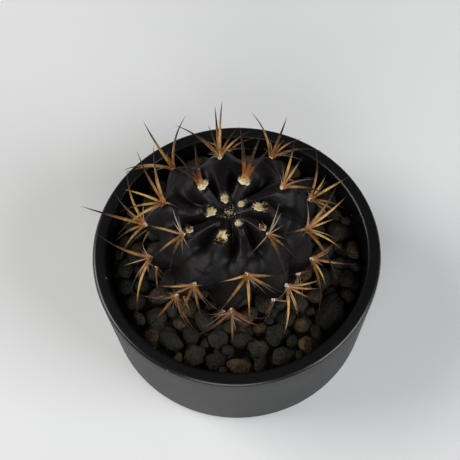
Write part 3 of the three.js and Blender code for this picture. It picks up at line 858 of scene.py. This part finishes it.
@dataclass
class PlantBody(Assembly):
    """Ribbed body with its neck and taproot.

    Pairs of depths are for the young skin of the crown and the grown skin below it.
    """

    axis: Vector = field(default_factory=lambda: Vector((-2.0, 5.4, 0.0)))
    radius: float = 28.6
    rise: float = 15.0
    drop: float = 15.0
    level: float = 51.0
    close_polar: float = 146.0
    dimple: float = 3.0
    dimple_radius: float = 6.0
    rib_depth: float = 3.8
    crest_share: float = 0.45
    valley: float = 1.5
    fold: Point = (0.44, 1.30)
    blunt: float = 0.09
    twist: float = 24.0
    tubercle: float = 1.8
    tubercle_radius: float = 5.5
    young_tubercle: float = 0.6
    young_reach: float = 0.4
    chin: Point = (2.3, 0.8)
    chin_offset: float = 3.4
    chin_reach: Point = (2.6, 3.9)
    chin_share: float = 0.8
    collar: float = 0.4
    collar_radius: float = 2.7
    collar_width: float = 0.75
    crease: float = 0.45
    crease_offset: float = 5.2
    crease_reach: Point = (1.0, 6.0)
    near_reach: float = 3.6
    seat_dip: float = 0.75
    seat_reach: float = 2.1
    plated_rib: int = 7
    plate: float = 0.24
    seam: float = 0.45
    wrinkle: float = 0.15
    pores: float = 0.03
    neck_radius: float = 12.0
    neck_level: float = 30.6
    root_radius: float = 8.5
    root_shoulder: float = 6.0
    root_end: float = 6.9
    root_wave: float = 0.12
    columns_per_rib: int = 26
    row_angle: float = 1.25
    root_rows: int = 26

    def profile(self, polar: float) -> tuple[float, float, Vector]:
        """Body without ribs.

        Args:
            polar: Angle down from the crown.

        Returns:
            Radius, height and the outward direction as radius and height parts.
        """
        angle = math.radians(polar)
        rise = self.rise if polar < 90 else self.drop
        radius = self.radius * math.sin(angle)
        out = Vector((math.sin(angle) / self.radius, math.cos(angle) / rise)).normalized()
        dip = self.dimple * gauss(radius, self.dimple_radius)
        return radius, self.level + rise * math.cos(angle) - dip, out

    def depth(self, radius: float) -> float:
        """Height of the ribs at a body radius."""
        grown = min(1.0, 2 * radius / self.radius) ** 0.8
        return self.rib_depth * grown * smoothstep(1.5, 12.0, radius)

    def swelling(self, radius: float) -> float:
        """Height of a tubercle at a body radius."""
        return self.tubercle * min(1.0, self.young_tubercle + 1.2 * radius / self.radius)

    def crest_azimuth(self, rib: int, polar: float) -> float:
        """Azimuth of a rib's crest, through its areoles and winding on beyond them."""
        areoles = RIBS[rib]
        for above, below in zip(areoles, areoles[1:]):
            if above.polar <= polar < below.polar:
                share = (polar - above.polar) / (below.polar - above.polar)
                return lerp(above.azimuth, below.azimuth, share)
        end = areoles[0] if polar < areoles[0].polar else areoles[-1]
        return end.azimuth + self.twist * (end.polar - polar) / 90

    def column_azimuth(self, rib: int, share: float, polar: float) -> float:
        """Azimuth of a place part of the way from one crest to the next."""
        start = self.crest_azimuth(rib, polar)
        gap = (self.crest_azimuth((rib + 1) % len(RIBS), polar) - start) % 360
        return start + gap * share

    def relief(
        self, rib: int, polar: float, aside: float, from_crest: float
    ) -> tuple[float, float]:
        """Tubercles, chins and creases of one rib.

        Args:
            rib: Number of the nearest rib.
            polar: Angle down from the crown.
            aside: Distance from the crest in millimetres.
            from_crest: The same as a share of the way to the groove.

        Returns:
            How far the skin stands out there, and how near the closest areole is.
        """
        angle = math.radians(polar)
        slope = math.hypot(self.radius * math.cos(angle), self.rise * math.sin(angle))
        swelling = chin = near = seat = collar = 0.0
        for one in RIBS[rib]:
            radius = self.profile(one.polar)[0]
            grown = min(1.0, self.young_reach + radius / self.radius)
            along = (polar - one.polar) * math.radians(1) * slope
            away = math.hypot(along, aside)
            swelling = max(
                swelling, self.swelling(radius) * gauss(away, self.tubercle_radius * grown)
            )
            bulge = grown * lerp(*self.chin, smoothstep(20, 55, one.polar))
            below = gauss(along - self.chin_offset * grown, self.chin_reach[0] * grown)
            below *= gauss(aside, self.chin_reach[1] * grown)
            chin = max(chin, bulge * below)
            young = 1 - smoothstep(26, 50, one.polar)
            ring = gauss(away - self.collar_radius, self.collar_width)
            collar = max(collar, self.collar * ring * young)
            near = max(near, gauss(away, self.near_reach))
            seat = max(seat, gauss(math.hypot(along, aside * 1.25), self.seat_reach))
            above = gauss(along + self.crease_offset * grown, self.crease_reach[0])
            above *= gauss(aside, self.crease_reach[1])
            swelling -= self.crease * above * smoothstep(40, 60, one.polar)
        plate = 0.0
        if rib == self.plated_rib:
            edge = lerp(0.2, 0.62, smoothstep(20, 44, polar))
            band = smoothstep(20, 28, polar) * (1 - smoothstep(44, 52, polar))
            plate = self.plate * gauss(from_crest - edge, 0.07) * band
        lumps = swelling + chin * self.chin_share + collar
        return lumps - seat * self.seat_dip + plate, near

    def skin_point(self, rib: int, share: float, polar: float) -> tuple[Vector, Point]:
        """Point of the skin.

        Args:
            rib: Rib number.
            share: Share of the way to the next rib.
            polar: Angle down from the crown.

        Returns:
            The point, with how deep in the groove and how near an areole it is.
        """
        radius, height, out = self.profile(polar)
        following = (rib + 1) % len(RIBS)
        nearest, other = (rib, following) if share < 0.5 else (following, rib)
        from_crest = share * 2 if share < 0.5 else (1 - share) * 2
        aside = from_crest * math.pi * radius / len(RIBS)
        valley = self.valley * smoothstep(0.26, 1.1, from_crest)
        blunt = math.hypot(from_crest, self.blunt) - self.blunt
        fold = lerp(*self.fold, smoothstep(50, 88, polar)) * (1 - (1 - min(1.0, blunt)) ** 1.6)
        sunk = lerp(valley, fold, smoothstep(24, 48, polar))
        lumps, near = self.relief(nearest, polar, aside, from_crest)
        if from_crest > 1 - self.seam:
            beyond = 2 - from_crest
            across, _ = self.relief(other, polar, aside * beyond / from_crest, beyond)
            lumps = lerp(lumps, across, 0.5 * smoothstep(1 - self.seam, 1.0, from_crest))
        stand = (self.crest_share - sunk) * self.depth(radius) + lumps
        azimuth = self.column_azimuth(rib, share, polar)
        reach = max(0.0, radius + stand * out.x)
        point = polar_point(reach, azimuth, height + stand * out.y)
        wrinkle = noise.fractal(point * 0.14, 1.0, 2.0, 2) * self.wrinkle
        wrinkle += noise.noise(point * 0.9) * self.pores * (1 - near)
        point += polar_point(out.x, azimuth, out.y) * wrinkle * min(1.0, radius / 6)
        return point + self.axis, (from_crest, near)

    def root_outline(self) -> list[Point]:
        """Radius and height pairs of the neck and taproot, from the neck down."""
        shoulder = self.neck_level - self.root_shoulder
        knots = [
            (self.neck_radius, self.neck_level),
            (self.root_radius, shoulder),
            (self.root_radius * 0.62, (shoulder + self.root_end) / 2),
            (self.root_radius * 0.28, self.root_end + 1),
            (0.0, self.root_end),
        ]
        points = [knots[0]]
        for step in range(1, self.root_rows + 1):
            run = step / self.root_rows * (len(knots) - 1)
            first = min(int(run), len(knots) - 2)
            points += line(knots[first], knots[first + 1], [run - first])
        return points

    def build(self) -> list[Piece]:
        """Spin a plain shell with one column per facet and move each of its points onto the skin.

        Returns:
            The body with its skin_map attribute.
        """
        rows_of_skin = int(self.close_polar / self.row_angle) + 1
        root = self.root_outline()
        rows = rows_of_skin + len(root)
        columns = self.columns_per_rib * len(RIBS)
        outline = [(0.0 if row in (0, rows - 1) else 1.0, float(-row)) for row in range(rows)]
        bm = spin_profile(outline, columns)
        layer = bm.verts.layers.float_color.new("skin_map")
        for vert in bm.verts:
            row = round(-vert.co.z)
            turn = math.degrees(math.atan2(vert.co.y, vert.co.x)) / 360
            rib, column = divmod(round(turn * columns) % columns, self.columns_per_rib)
            share = column / self.columns_per_rib
            if row < rows_of_skin:
                polar = row * self.row_angle
                vert.co, (groove, near) = self.skin_point(rib, share, polar)
                vert[layer] = (groove, near, polar / self.close_polar, 1.0)
            else:
                radius, height = root[row - rows_of_skin]
                azimuth = self.column_azimuth(rib, share, self.close_polar)
                spot = polar_point(1.0, azimuth, height * 0.25) * 1.4
                wave = 1 + self.root_wave * noise.noise(spot)
                vert.co = polar_point(radius * wave, azimuth, height) + self.axis
                vert[layer] = (0.5, 0.0, 1.0, 1.0)
        bmesh.ops.recalc_face_normals(bm, faces=bm.faces)
        return [Piece(finished_object(bm, "plant_skin"), Slot.SKIN, ("cactus_body",))]

    def seat(self, one: Areole) -> Seat:
        """Seat of an areole on its rib's crest."""
        radius, height, out = self.profile(one.polar)
        outward = polar_point(out.x, one.azimuth, out.y)
        down = polar_point(out.y, one.azimuth, -out.x)
        stand = self.crest_share * self.depth(radius) + self.swelling(radius)
        foot = polar_point(radius + stand * out.x, one.azimuth, height + stand * out.y)
        return Seat(foot + self.axis, outward, down, outward.cross(down))


# ------------------------------------------------------------------ areoles and spines


@dataclass
class SpineCluster(Assembly):
    """Wool pad and spines of every areole."""

    body: PlantBody
    usual_lift: float = 32.0
    bend: float = 0.09
    root_radius: float = 0.33
    root_growth: float = 0.0140
    stout: float = 1.55
    thin: float = 0.27
    thin_spines: int = 7
    foot_ring: float = 0.7
    bulb: float = 0.5
    bulb_reach: float = 0.8
    pad_share: float = 0.41
    pad_height: float = 0.85
    strand_radius: Point = (0.07, 0.13)
    strand_reach: Point = (0.16, 0.44)
    sides: int = 8
    lengths: int = 11

    def spine(
        self, bm: bmesh.types.BMesh, seat: Seat, bearing: float, length: float, lift: float,
        radius: float, tones: tuple[float, float, float],
    ) -> None:
        """Add one bowed, tapering spine.

        Args:
            bm: Mesh that takes the spine.
            seat: Seat that it grows from.
            bearing: Direction round the seat, 0 down the rib.
            length: Straight length from base to tip.
            lift: Angle up from the skin.
            radius: Radius near the base.
            tones: Age, shade and paleness for the spine_map attribute.
        """
        layer = bm.verts.layers.float_color["spine_map"]
        earlier = len(bm.verts)
        made = add_cone(bm, self.sides, (1.0, 0.06), 1.0, Matrix.Translation((0, 0, 0.5)))
        long_edges = {
            edge for vert in made for edge in vert.link_edges
            if abs(edge.verts[0].co.z - edge.verts[1].co.z) > 0.5
        }
        bmesh.ops.subdivide_edges(bm, edges=list(long_edges), cuts=self.lengths, use_grid_fill=True)
        aim, rise = math.radians(bearing), math.radians(lift)
        flat = seat.down * math.cos(aim) + seat.side * math.sin(aim)
        along = flat * math.cos(rise) + seat.outward * math.sin(rise)
        bowed = seat.outward * math.cos(rise) - flat * math.sin(rise)
        across = along.cross(bowed)
        bm.verts.ensure_lookup_table()
        for vert in bm.verts[earlier:]:
            share = vert.co.z
            angle = math.atan2(vert.co.y, vert.co.x)
            bulb = 1 + self.bulb * gauss(share * length, self.bulb_reach)
            thick = radius * bulb * (0.04 + 0.96 * (1 - share**1.45) ** 0.9)
            bow = 4 * self.bend * length * share * (1 - share)
            centre = seat.point + along * length * share + bowed * bow
            ring = across * math.cos(angle) + bowed * math.sin(angle) * 0.9
            inside = math.hypot(vert.co.x, vert.co.y) > 1e-5
            vert.co = centre + (ring * thick if inside else Vector((0, 0, 0)))
            vert[layer] = (share, *tones)

    def wool(
        self, bm: bmesh.types.BMesh, seat: Seat, extent: Point, strands: int, tones: Point,
        rng: random.Random,
    ) -> None:
        """Add one felted pad with its strands.

        Args:
            bm: Mesh that takes the wool.
            seat: Seat that it lies in.
            extent: Length along the rib and width of the pad.
            strands: Number of loose strands.
            tones: Age and staining for the wool_map attribute.
            rng: Random numbers of this areole.
        """
        layer = bm.verts.layers.float_color["wool_map"]
        size = Vector((extent[0] * self.pad_share, extent[1] * self.pad_share, self.pad_height))
        made = bmesh.ops.create_icosphere(bm, subdivisions=3, radius=1.0)
        offset = random_vector(rng, 50)
        turn = seat.turn()
        for vert in made["verts"]:
            lump = 1 + 0.62 * noise.noise(vert.co * 1.9 + offset)
            lump += 0.3 * noise.noise(vert.co * 5 + offset)
            vert.co = turn @ Vector([part * lump * half for part, half in zip(vert.co, size)])
            vert[layer] = (*tones, rng.uniform(0, 0.5), 1.0)
        for _ in range(strands):
            angle = rng.uniform(0, 2 * math.pi)
            share = math.sqrt(rng.random()) * 0.95
            foot = Vector((size.x * share * math.cos(angle), size.y * share * math.sin(angle), 0.0))
            foot.z = size.z * math.sqrt(max(0.0, 1 - share * share)) * 0.85
            lean = Vector((foot.x * 0.55, foot.y * 0.75, size.z * 0.8))
            lean += Vector([rng.gauss(0, spread) for spread in (0.45, 0.45, 0.3)])
            reach = sum(extent) / 2 * rng.uniform(*self.strand_reach)
            spot = Matrix.Translation(foot) @ lean.to_track_quat("Z", "Y").to_matrix().to_4x4()
            spot = turn @ spot @ Matrix.Translation((0, 0, reach * 0.4))
            strand = add_cone(bm, 3, (rng.uniform(*self.strand_radius), 0.015), reach, spot)
            shade = rng.random()
            for vert in strand:
                vert[layer] = (*tones, shade, 1.0)

    def build(self) -> list[Piece]:
        """Build the wool and the spines of every areole.

        Returns:
            A piece of each; both stand for the areole's CAD node.
        """
        pieces = []
        for rib, areoles in enumerate(RIBS, 1):
            for order, one in enumerate(areoles, 1):
                rng = random.Random(rib * 101 + order * 7)
                name = f"r{rib:02d}_{order}"
                nodes = (f"areole_{name}",)
                seat = self.body.seat(one)
                pieces.append(Piece(self.pad(one, seat, name, rng), Slot.WOOL, nodes))
                if one.growth is not Growth.BARE:
                    pieces.append(Piece(self.fan(one, seat, name, rng), Slot.SPINE, nodes))
        return pieces

    def pad(self, one: Areole, seat: Seat, name: str, rng: random.Random) -> bpy.types.Object:
        """Build the wool of one areole."""
        bm = bmesh.new()
        bm.verts.layers.float_color.new("wool_map")
        age = {Growth.GROWN: 0.55, Growth.AGED: 1.0}.get(one.growth, 0.0)
        strands, stain = (80, 0.12) if age else (130, 0.0)
        shift = -0.9 if one.growth is Growth.YOUNG else 0.0
        self.wool(bm, seat.moved(shift, 0.0, -0.25), one.wool, strands, (age, stain), rng)
        if one.crown_tuft:
            self.wool(bm, seat.moved(-3.0, 0.4, -0.1), (2.8, 2.0), 60, (0.0, 0.25), rng)
        return finished_object(bm, f"wool_{name}")

    def fan(self, one: Areole, seat: Seat, name: str, rng: random.Random) -> bpy.types.Object:
        """Build the spines of one areole, with a few short ones between."""
        bm = bmesh.new()
        bm.verts.layers.float_color.new("spine_map")
        age = {
            Growth.YOUNG: 0.0, Growth.BUDDING: 0.1, Growth.GROWN: 0.35, Growth.AGED: 0.8
        }[one.growth]
        for bearing, length, *rest in one.spines:
            lift = rest[0] if rest else self.usual_lift
            radius = self.root_radius + self.root_growth * length
            pale = one.crown_tuft and abs(bearing) >= 100
            shade = min(1.0, rng.random() + one.dusk)
            tones = (min(1.0, age + rng.uniform(0, 0.2)), shade, 0.7 if pale else 0.0)
            if one.growth is Growth.YOUNG:
                radius *= self.stout
                tones = (0.0, rng.uniform(0, 0.3), 0.0)
            foot = polar_point(self.foot_ring, bearing, 0.25)
            root = seat.moved(*foot)
            self.spine(bm, root, bearing, length, lift, radius * (0.6 if pale else 1.0), tones)
        if one.growth is Growth.BUDDING:
            self.buds(bm, seat.moved(1.2, 0.0, 0.3), 8, 0.0, rng)
        elif one.growth is not Growth.YOUNG:
            for step in range(self.thin_spines):
                bearing = rng.uniform(-130, 130)
                length = rng.uniform(3.5, 7.0) + (5.0 if step > 3 else 0.0)
                tones = (min(1.0, age + 0.3), rng.random(), 0.25)
                self.spine(bm, seat, bearing, length, rng.uniform(12, 40), self.thin, tones)
        if one.crown_tuft:
            self.buds(bm, seat.moved(-3.0, 0.2, 0.2), 5, 200.0, rng)
        return finished_object(bm, f"spines_{name}")

    def buds(
        self, bm: bmesh.types.BMesh, seat: Seat, count: int, aim: float, rng: random.Random
    ) -> None:
        """Add amber spine tips that have just come through the wool.

        Args:
            bm: Mesh that takes them.
            seat: Middle of the patch of wool.
            count: Number of tips.
            aim: Bearing that they lean to.
            rng: Random numbers of this areole.
        """
        for _ in range(count):
            foot = seat.moved(rng.uniform(-0.7, 0.7), rng.uniform(-0.8, 0.8), 0.0)
            bearing = aim + rng.uniform(-60, 60)
            length, lift = rng.uniform(1.8, 3.2), rng.uniform(40, 75)
            self.spine(bm, foot, bearing, length, lift, 0.42, (0.14, 0.1, 0.0))


@dataclass
class CrownLitter(Assembly):
    """Bits of old felt and dust that lie in the dimple of the crown."""

    body: PlantBody
    flakes: int = 70
    spread: float = 1.9
    widest: float = 4.5

    def build(self) -> list[Piece]:
        """Scatter small flakes over the dimple.

        Returns:
            The joined flakes.
        """
        bm = bmesh.new()
        layer = bm.verts.layers.float_color.new("wool_map")
        rng = random.Random(77)
        for _ in range(self.flakes):
            azimuth = rng.uniform(0, 360)
            away = min(self.widest, abs(rng.gauss(0, self.spread)))
            polar = math.degrees(math.asin(min(1.0, away / self.body.radius)))
            crest = self.body.crest_share * self.body.depth(away)
            height = self.body.profile(polar)[1] + crest * 0.5 + rng.uniform(-0.1, 0.4)
            place = polar_point(away, azimuth, height) + self.body.axis
            turn = Euler([rng.uniform(0, 6.3) for _ in range(3)]).to_matrix().to_4x4()
            size = Matrix.Diagonal((rng.uniform(0.25, 0.6), rng.uniform(0.12, 0.3), 0.1, 1.0))
            spot = Matrix.Translation(place) @ turn @ size
            made = bmesh.ops.create_icosphere(bm, subdivisions=1, radius=1.0, matrix=spot)
            shade = rng.random()
            for vert in made["verts"]:
                vert[layer] = (0.2, 0.15 + 0.75 * rng.random(), shade, 1.0)
        return [Piece(finished_object(bm, "crown_litter"), Slot.WOOL)]


# ------------------------------------------------------------------ gravel


@dataclass(frozen=True)
class Stone:
    """A stone's place, size, turn and tone."""

    centre: Vector
    size: Vector
    turn: float
    tone: Point


# Large stones: azimuth, distance in from the wall, length, width, turn, brightness, warmth, and for
# one that stands on its edge how much taller it is.
LARGE_STONES: tuple[tuple[float, ...], ...] = (
    (202, 5.8, 8, 7.4, 100, 0.55, 0.05), (216, 9.5, 8, 7.2, 40, 0.35, 0.10),
    (231, 6.8, 10, 6.8, 150, 0.60, 0.05), (246, 6.1, 8.4, 7.4, 60, 0.75, 0.15),
    (256, 14.6, 7, 6.8, 0, 0.60, 0.10), (257, 6.2, 7, 6.2, 20, 0.45, 0.05),
    (269, 5.2, 9.6, 5, 170, 0.70, 0.55), (280, 11.1, 7.4, 7, 0, 0.70, 0.30),
    (293, 14, 8.6, 6.4, 80, 0.60, 0.15), (291, 5.2, 9.2, 6.6, 20, 1.00, 0.05),
    (305, 4.3, 7.4, 6.4, 20, 0.80, 1.00), (311, 11.5, 6.6, 5.8, 10, 0.60, 0.65),
    (326, 5.9, 14, 10.6, 60, 0.40, 0.02), (347, 5.3, 7, 6.2, 70, 0.50, 0.05),
    (3, 3.3, 7.4, 5.0, 95, 0.80, 0.75), (34, 3.4, 7.5, 6.4, 120, 0.40, 0.05),
    (108, 4, 10.4, 6.8, 10, 1.00, 0.95, 1.75), (132, 3.5, 7.2, 6.2, 60, 0.90, 0.50),
    (156, 3.2, 6.8, 6, 100, 0.60, 0.20), (183, 4.6, 8.6, 6.8, 80, 0.60, 0.10),
)


@dataclass
class Gravel(Assembly):
    """Lava gravel: grit below, small stones joined with it, and large loose stones on top."""

    pot: Pot
    body: PlantBody
    bottom: float = 29.6
    top: float = 34.2
    thickness_share: float = 0.72
    sink: float = 0.28
    clear: float = 0.5
    classes: tuple[tuple[float, int], ...] = (
        (8.2, 500), (7.0, 1200), (6.0, 2200), (5.0, 3000), (3.8, 4200)
    )
    lower_tries: int = 170
    lower_sizes: Point = (4.5, 7.5)
    facets: int = 10
    facet_reach: Point = (0.66, 0.92)
    wear: float = 0.86
    tilt: float = 0.12
    room: float = 0.46

    def large(self) -> list[Stone]:
        """The loose stones, close to where the CAD has them."""
        wall = self.pot.inner_radius(self.top)
        stones = []
        for azimuth, inwards, length, width, turn, bright, warm, *taller in LARGE_STONES:
            thick = width * self.thickness_share * (taller[0] if taller else 1.0)
            place = polar_point(wall - inwards, azimuth, self.top + thick * (0.5 - self.sink))
            stones.append(Stone(place, Vector((length, width, thick)), turn, (bright, warm)))
        return stones

    def scattered(self, large: list[Stone], rng: random.Random) -> list[Stone]:
        """Fill the room between the large stones, from big to small, and lay stones below.

        Args:
            large: Stones that are already placed.
            rng: Random numbers for places and sizes.

        Returns:
            The small stones of both layers.
        """
        taken = [(one.centre.x, one.centre.y, (one.size.x + one.size.y) / 2) for one in large]
        stones = []
        for size, tries in self.classes:
            for _ in range(tries):
                place = polar_point(math.sqrt(rng.uniform(12**2, 47**2)), rng.uniform(0, 360), 0)
                if self.free(place, size, taken):
                    taken.append((place.x, place.y, size))
                    stones.append(self.small(place, size, self.top + rng.uniform(0.4, 1.6), rng))
        for _ in range(self.lower_tries):
            size = rng.uniform(*self.lower_sizes)
            place = polar_point(math.sqrt(rng.uniform(13**2, 44**2)), rng.uniform(0, 360), 0)
            if self.free(place, size, []):
                stones.append(self.small(place, size, self.top - rng.uniform(0.8, 2.4), rng))
        return stones

    def free(self, place: Vector, size: float, taken: list[tuple[float, float, float]]) -> bool:
        """Whether a stone of this size has room at a place."""
        wall = self.pot.inner_radius(self.top) - self.clear
        if math.hypot(place.x, place.y) + size * 0.48 > wall:
            return False
        from_plant = math.hypot(place.x - self.body.axis.x, place.y - self.body.axis.y)
        if from_plant - size * 0.5 < self.body.neck_radius + 2.6:
            return False
        return all(
            math.hypot(place.x - x, place.y - y) > self.room * (size + other)
            for x, y, other in taken
        )

    def small(self, place: Vector, size: float, level: float, rng: random.Random) -> Stone:
        """One small stone with its own proportions and tone."""
        warm = rng.choice((0.0, 0.05, 0.1, 0.1, 0.2, 0.3, 0.55))
        spans = ((1.0, 1.2), (0.82, 1.0), (0.6, 0.8))
        extent = Vector([size * rng.uniform(*span) for span in spans])
        centre = Vector((place.x, place.y, level))
        return Stone(centre, extent, rng.uniform(0, 180), (rng.uniform(0.2, 0.9), warm))

    def shape(self, bm: bmesh.types.BMesh, stone: Stone, detail: int, rng: random.Random) -> None:
        """Add one rounded, faceted stone.

        Args:
            bm: Mesh that takes the stone.
            stone: Its place, size, turn and tone.
            detail: Subdivisions of the ball that it is worn from.
            rng: Random numbers of its facets.
        """
        layer = bm.verts.layers.float_color["stone_tone"]
        made = bmesh.ops.create_icosphere(bm, subdivisions=detail, radius=1.0)
        facets = []
        for _ in range(self.facets):
            aim = Vector([rng.gauss(0, 1) for _ in range(3)]).normalized()
            facets.append((aim, rng.uniform(*self.facet_reach)))
        offset = random_vector(rng, 90)
        lean = [rng.gauss(0, self.tilt) for _ in range(2)]
        tilt = Euler((*lean, math.radians(stone.turn))).to_matrix()
        for vert in made["verts"]:
            spot = vert.co.copy()
            for aim, reach in facets:
                spot -= aim * max(0.0, spot.dot(aim) - reach) * self.wear
            lumps = 0.10 * noise.noise(spot * 1.7 + offset) + 0.035 * noise.noise(spot * 5 + offset)
            spot *= 1.08 + lumps
            if detail > 3:
                spot *= 1 - 0.045 * smoothstep(0.12, 0.4, noise.noise(spot * 11 + offset))
                spot *= 1 + 0.012 * noise.noise(spot * 24 + offset)
            scaled = Vector([part * extent / 2 for part, extent in zip(spot, stone.size)])
            vert.co = tilt @ scaled + stone.centre
            vert[layer] = (*stone.tone, offset.x / 180 + 0.5, 1.0)

    def bed(self) -> bmesh.types.BMesh:
        """Lumpy ring of compacted grit under the stones."""
        edge = self.pot.inner_radius(self.bottom) - 0.3
        rim = self.pot.inner_radius(self.top) - 0.4
        inner = self.body.neck_radius + 1.5
        crust = self.top - 2.4
        outline = [(inner, self.bottom), (edge, self.bottom)]
        outline += line((edge, self.bottom), (rim, self.top - 2.6), (1 / 3, 2 / 3, 1))
        outline += line((rim, crust), (inner, crust), [step / 14 for step in range(1, 15)])
        bm = spin_profile(outline + outline[:1], 96)
        for vert in bm.verts:
            if vert.co.z > self.top - 2.7:
                vert.co.z += 0.9 * noise.noise(vert.co * 0.35)
            away = math.hypot(vert.co.x, vert.co.y)
            vert.co += self.body.axis * (1 - smoothstep(inner, (inner + edge) / 2, away))
        return bm

    def build(self) -> list[Piece]:
        """Build the gravel.

        Returns:
            The joined small stones and then each loose stone.
        """
        rng = random.Random(2024)
        large = self.large()
        bm = self.bed()
        layer = bm.verts.layers.float_color.new("stone_tone")
        for vert in bm.verts:
            vert[layer] = (0.15, 0.1, 0.5, 1.0)
        for stone in self.scattered(large, rng):
            self.shape(bm, stone, 2, rng)
        pieces = [Piece(finished_object(bm, "gravel_dressing"), Slot.GRAVEL, ("gravel_bed",))]
        for number, stone in enumerate(large, 1):
            bm = bmesh.new()
            bm.verts.layers.float_color.new("stone_tone")
            self.shape(bm, stone, 5, random.Random(500 + number))
            name = f"stone_{number:02d}"
            pieces.append(Piece(finished_object(bm, f"lava_{name}"), Slot.GRAVEL, (name,)))
        return pieces


# ------------------------------------------------------------------ studio


@dataclass(frozen=True)
class Lamp:
    """A soft square lamp: name, place, size in metres, power and colour."""

    name: str
    place: tuple[float, float, float]
    size: float
    power: float
    colour: tuple[float, float, float]


LAMPS: tuple[Lamp, ...] = (
    Lamp("window", (-1.10, 0.20, 0.85), 0.9, 14.5, (1.0, 0.985, 0.96)),
    Lamp("front_fill", (-0.20, -1.30, 0.75), 1.0, 12.4, (0.97, 0.98, 1.0)),
    Lamp("side_fill", (1.15, -0.55, 0.75), 1.0, 16.5, (0.93, 0.96, 1.0)),
)


@dataclass
class Studio:
    """Camera, pale table and soft lights."""

    eye: Vector = field(default_factory=lambda: Vector((-2.046, -167.581, 385.659)) * MM)
    aim: Vector = field(default_factory=lambda: Vector((-2.046, 15.467, 30.0)) * MM)
    roll: float = -2.273
    field_of_view: float = 24.876
    table_radius: float = 2500.0
    table_gap: float = 0.05
    world_colour: Colour = (0.92, 0.95, 1.0, 1.0)
    world_light: float = 0.07

    def build(self) -> bpy.types.Object:
        """Set the camera and the lights, and lay the table.

        Returns:
            The table.
        """
        scene = bpy.context.scene
        camera = bpy.data.cameras.new("view")
        camera.sensor_fit = "HORIZONTAL"
        camera.angle = math.radians(self.field_of_view)
        holder = bpy.data.objects.new("view", camera)
        holder.matrix_world = aimed(self.eye, self.aim, self.roll)
        scene.collection.objects.link(holder)
        bpy.context.scene.camera = holder
        world = bpy.data.worlds.new("soft_room")
        world.use_nodes = True
        background = world.node_tree.nodes["Background"]
        background.inputs[0].default_value = self.world_colour
        background.inputs[1].default_value = self.world_light
        scene.world = world
        scene.view_settings.view_transform = "Standard"
        for lamp in LAMPS:
            data = bpy.data.lights.new(lamp.name, "AREA")
            data.shape = "SQUARE"
            data.size = lamp.size
            data.energy = lamp.power
            data.color = lamp.colour
            stand = bpy.data.objects.new(lamp.name, data)
            stand.matrix_world = aimed(Vector(lamp.place), self.aim)
            scene.collection.objects.link(stand)
        bm = bmesh.new()
        bmesh.ops.create_circle(bm, cap_ends=True, segments=64, radius=self.table_radius)
        bmesh.ops.translate(bm, verts=bm.verts, vec=(0, 0, -self.table_gap))
        return finished_object(bm, "table_top")

    def dress(self, table: bpy.types.Object, finishes: Finishes) -> None:
        """Give the table its finish; it is not fixed to the frame."""
        table.data.materials.append(finishes.table)


def main() -> None:
    """Build and dress every sub-assembly in order."""
    logging.basicConfig(level=logging.INFO, format="%(name)s %(message)s")
    finishes = Finishes()
    pot, body = Pot(), PlantBody()
    plant = (body, SpineCluster(body), CrownLitter(body))
    for assembly in (Studio(), pot, Filling(), *plant, Gravel(pot, body)):
        assembly.dress(assembly.build(), finishes)


if __name__ == "__main__":
    main()
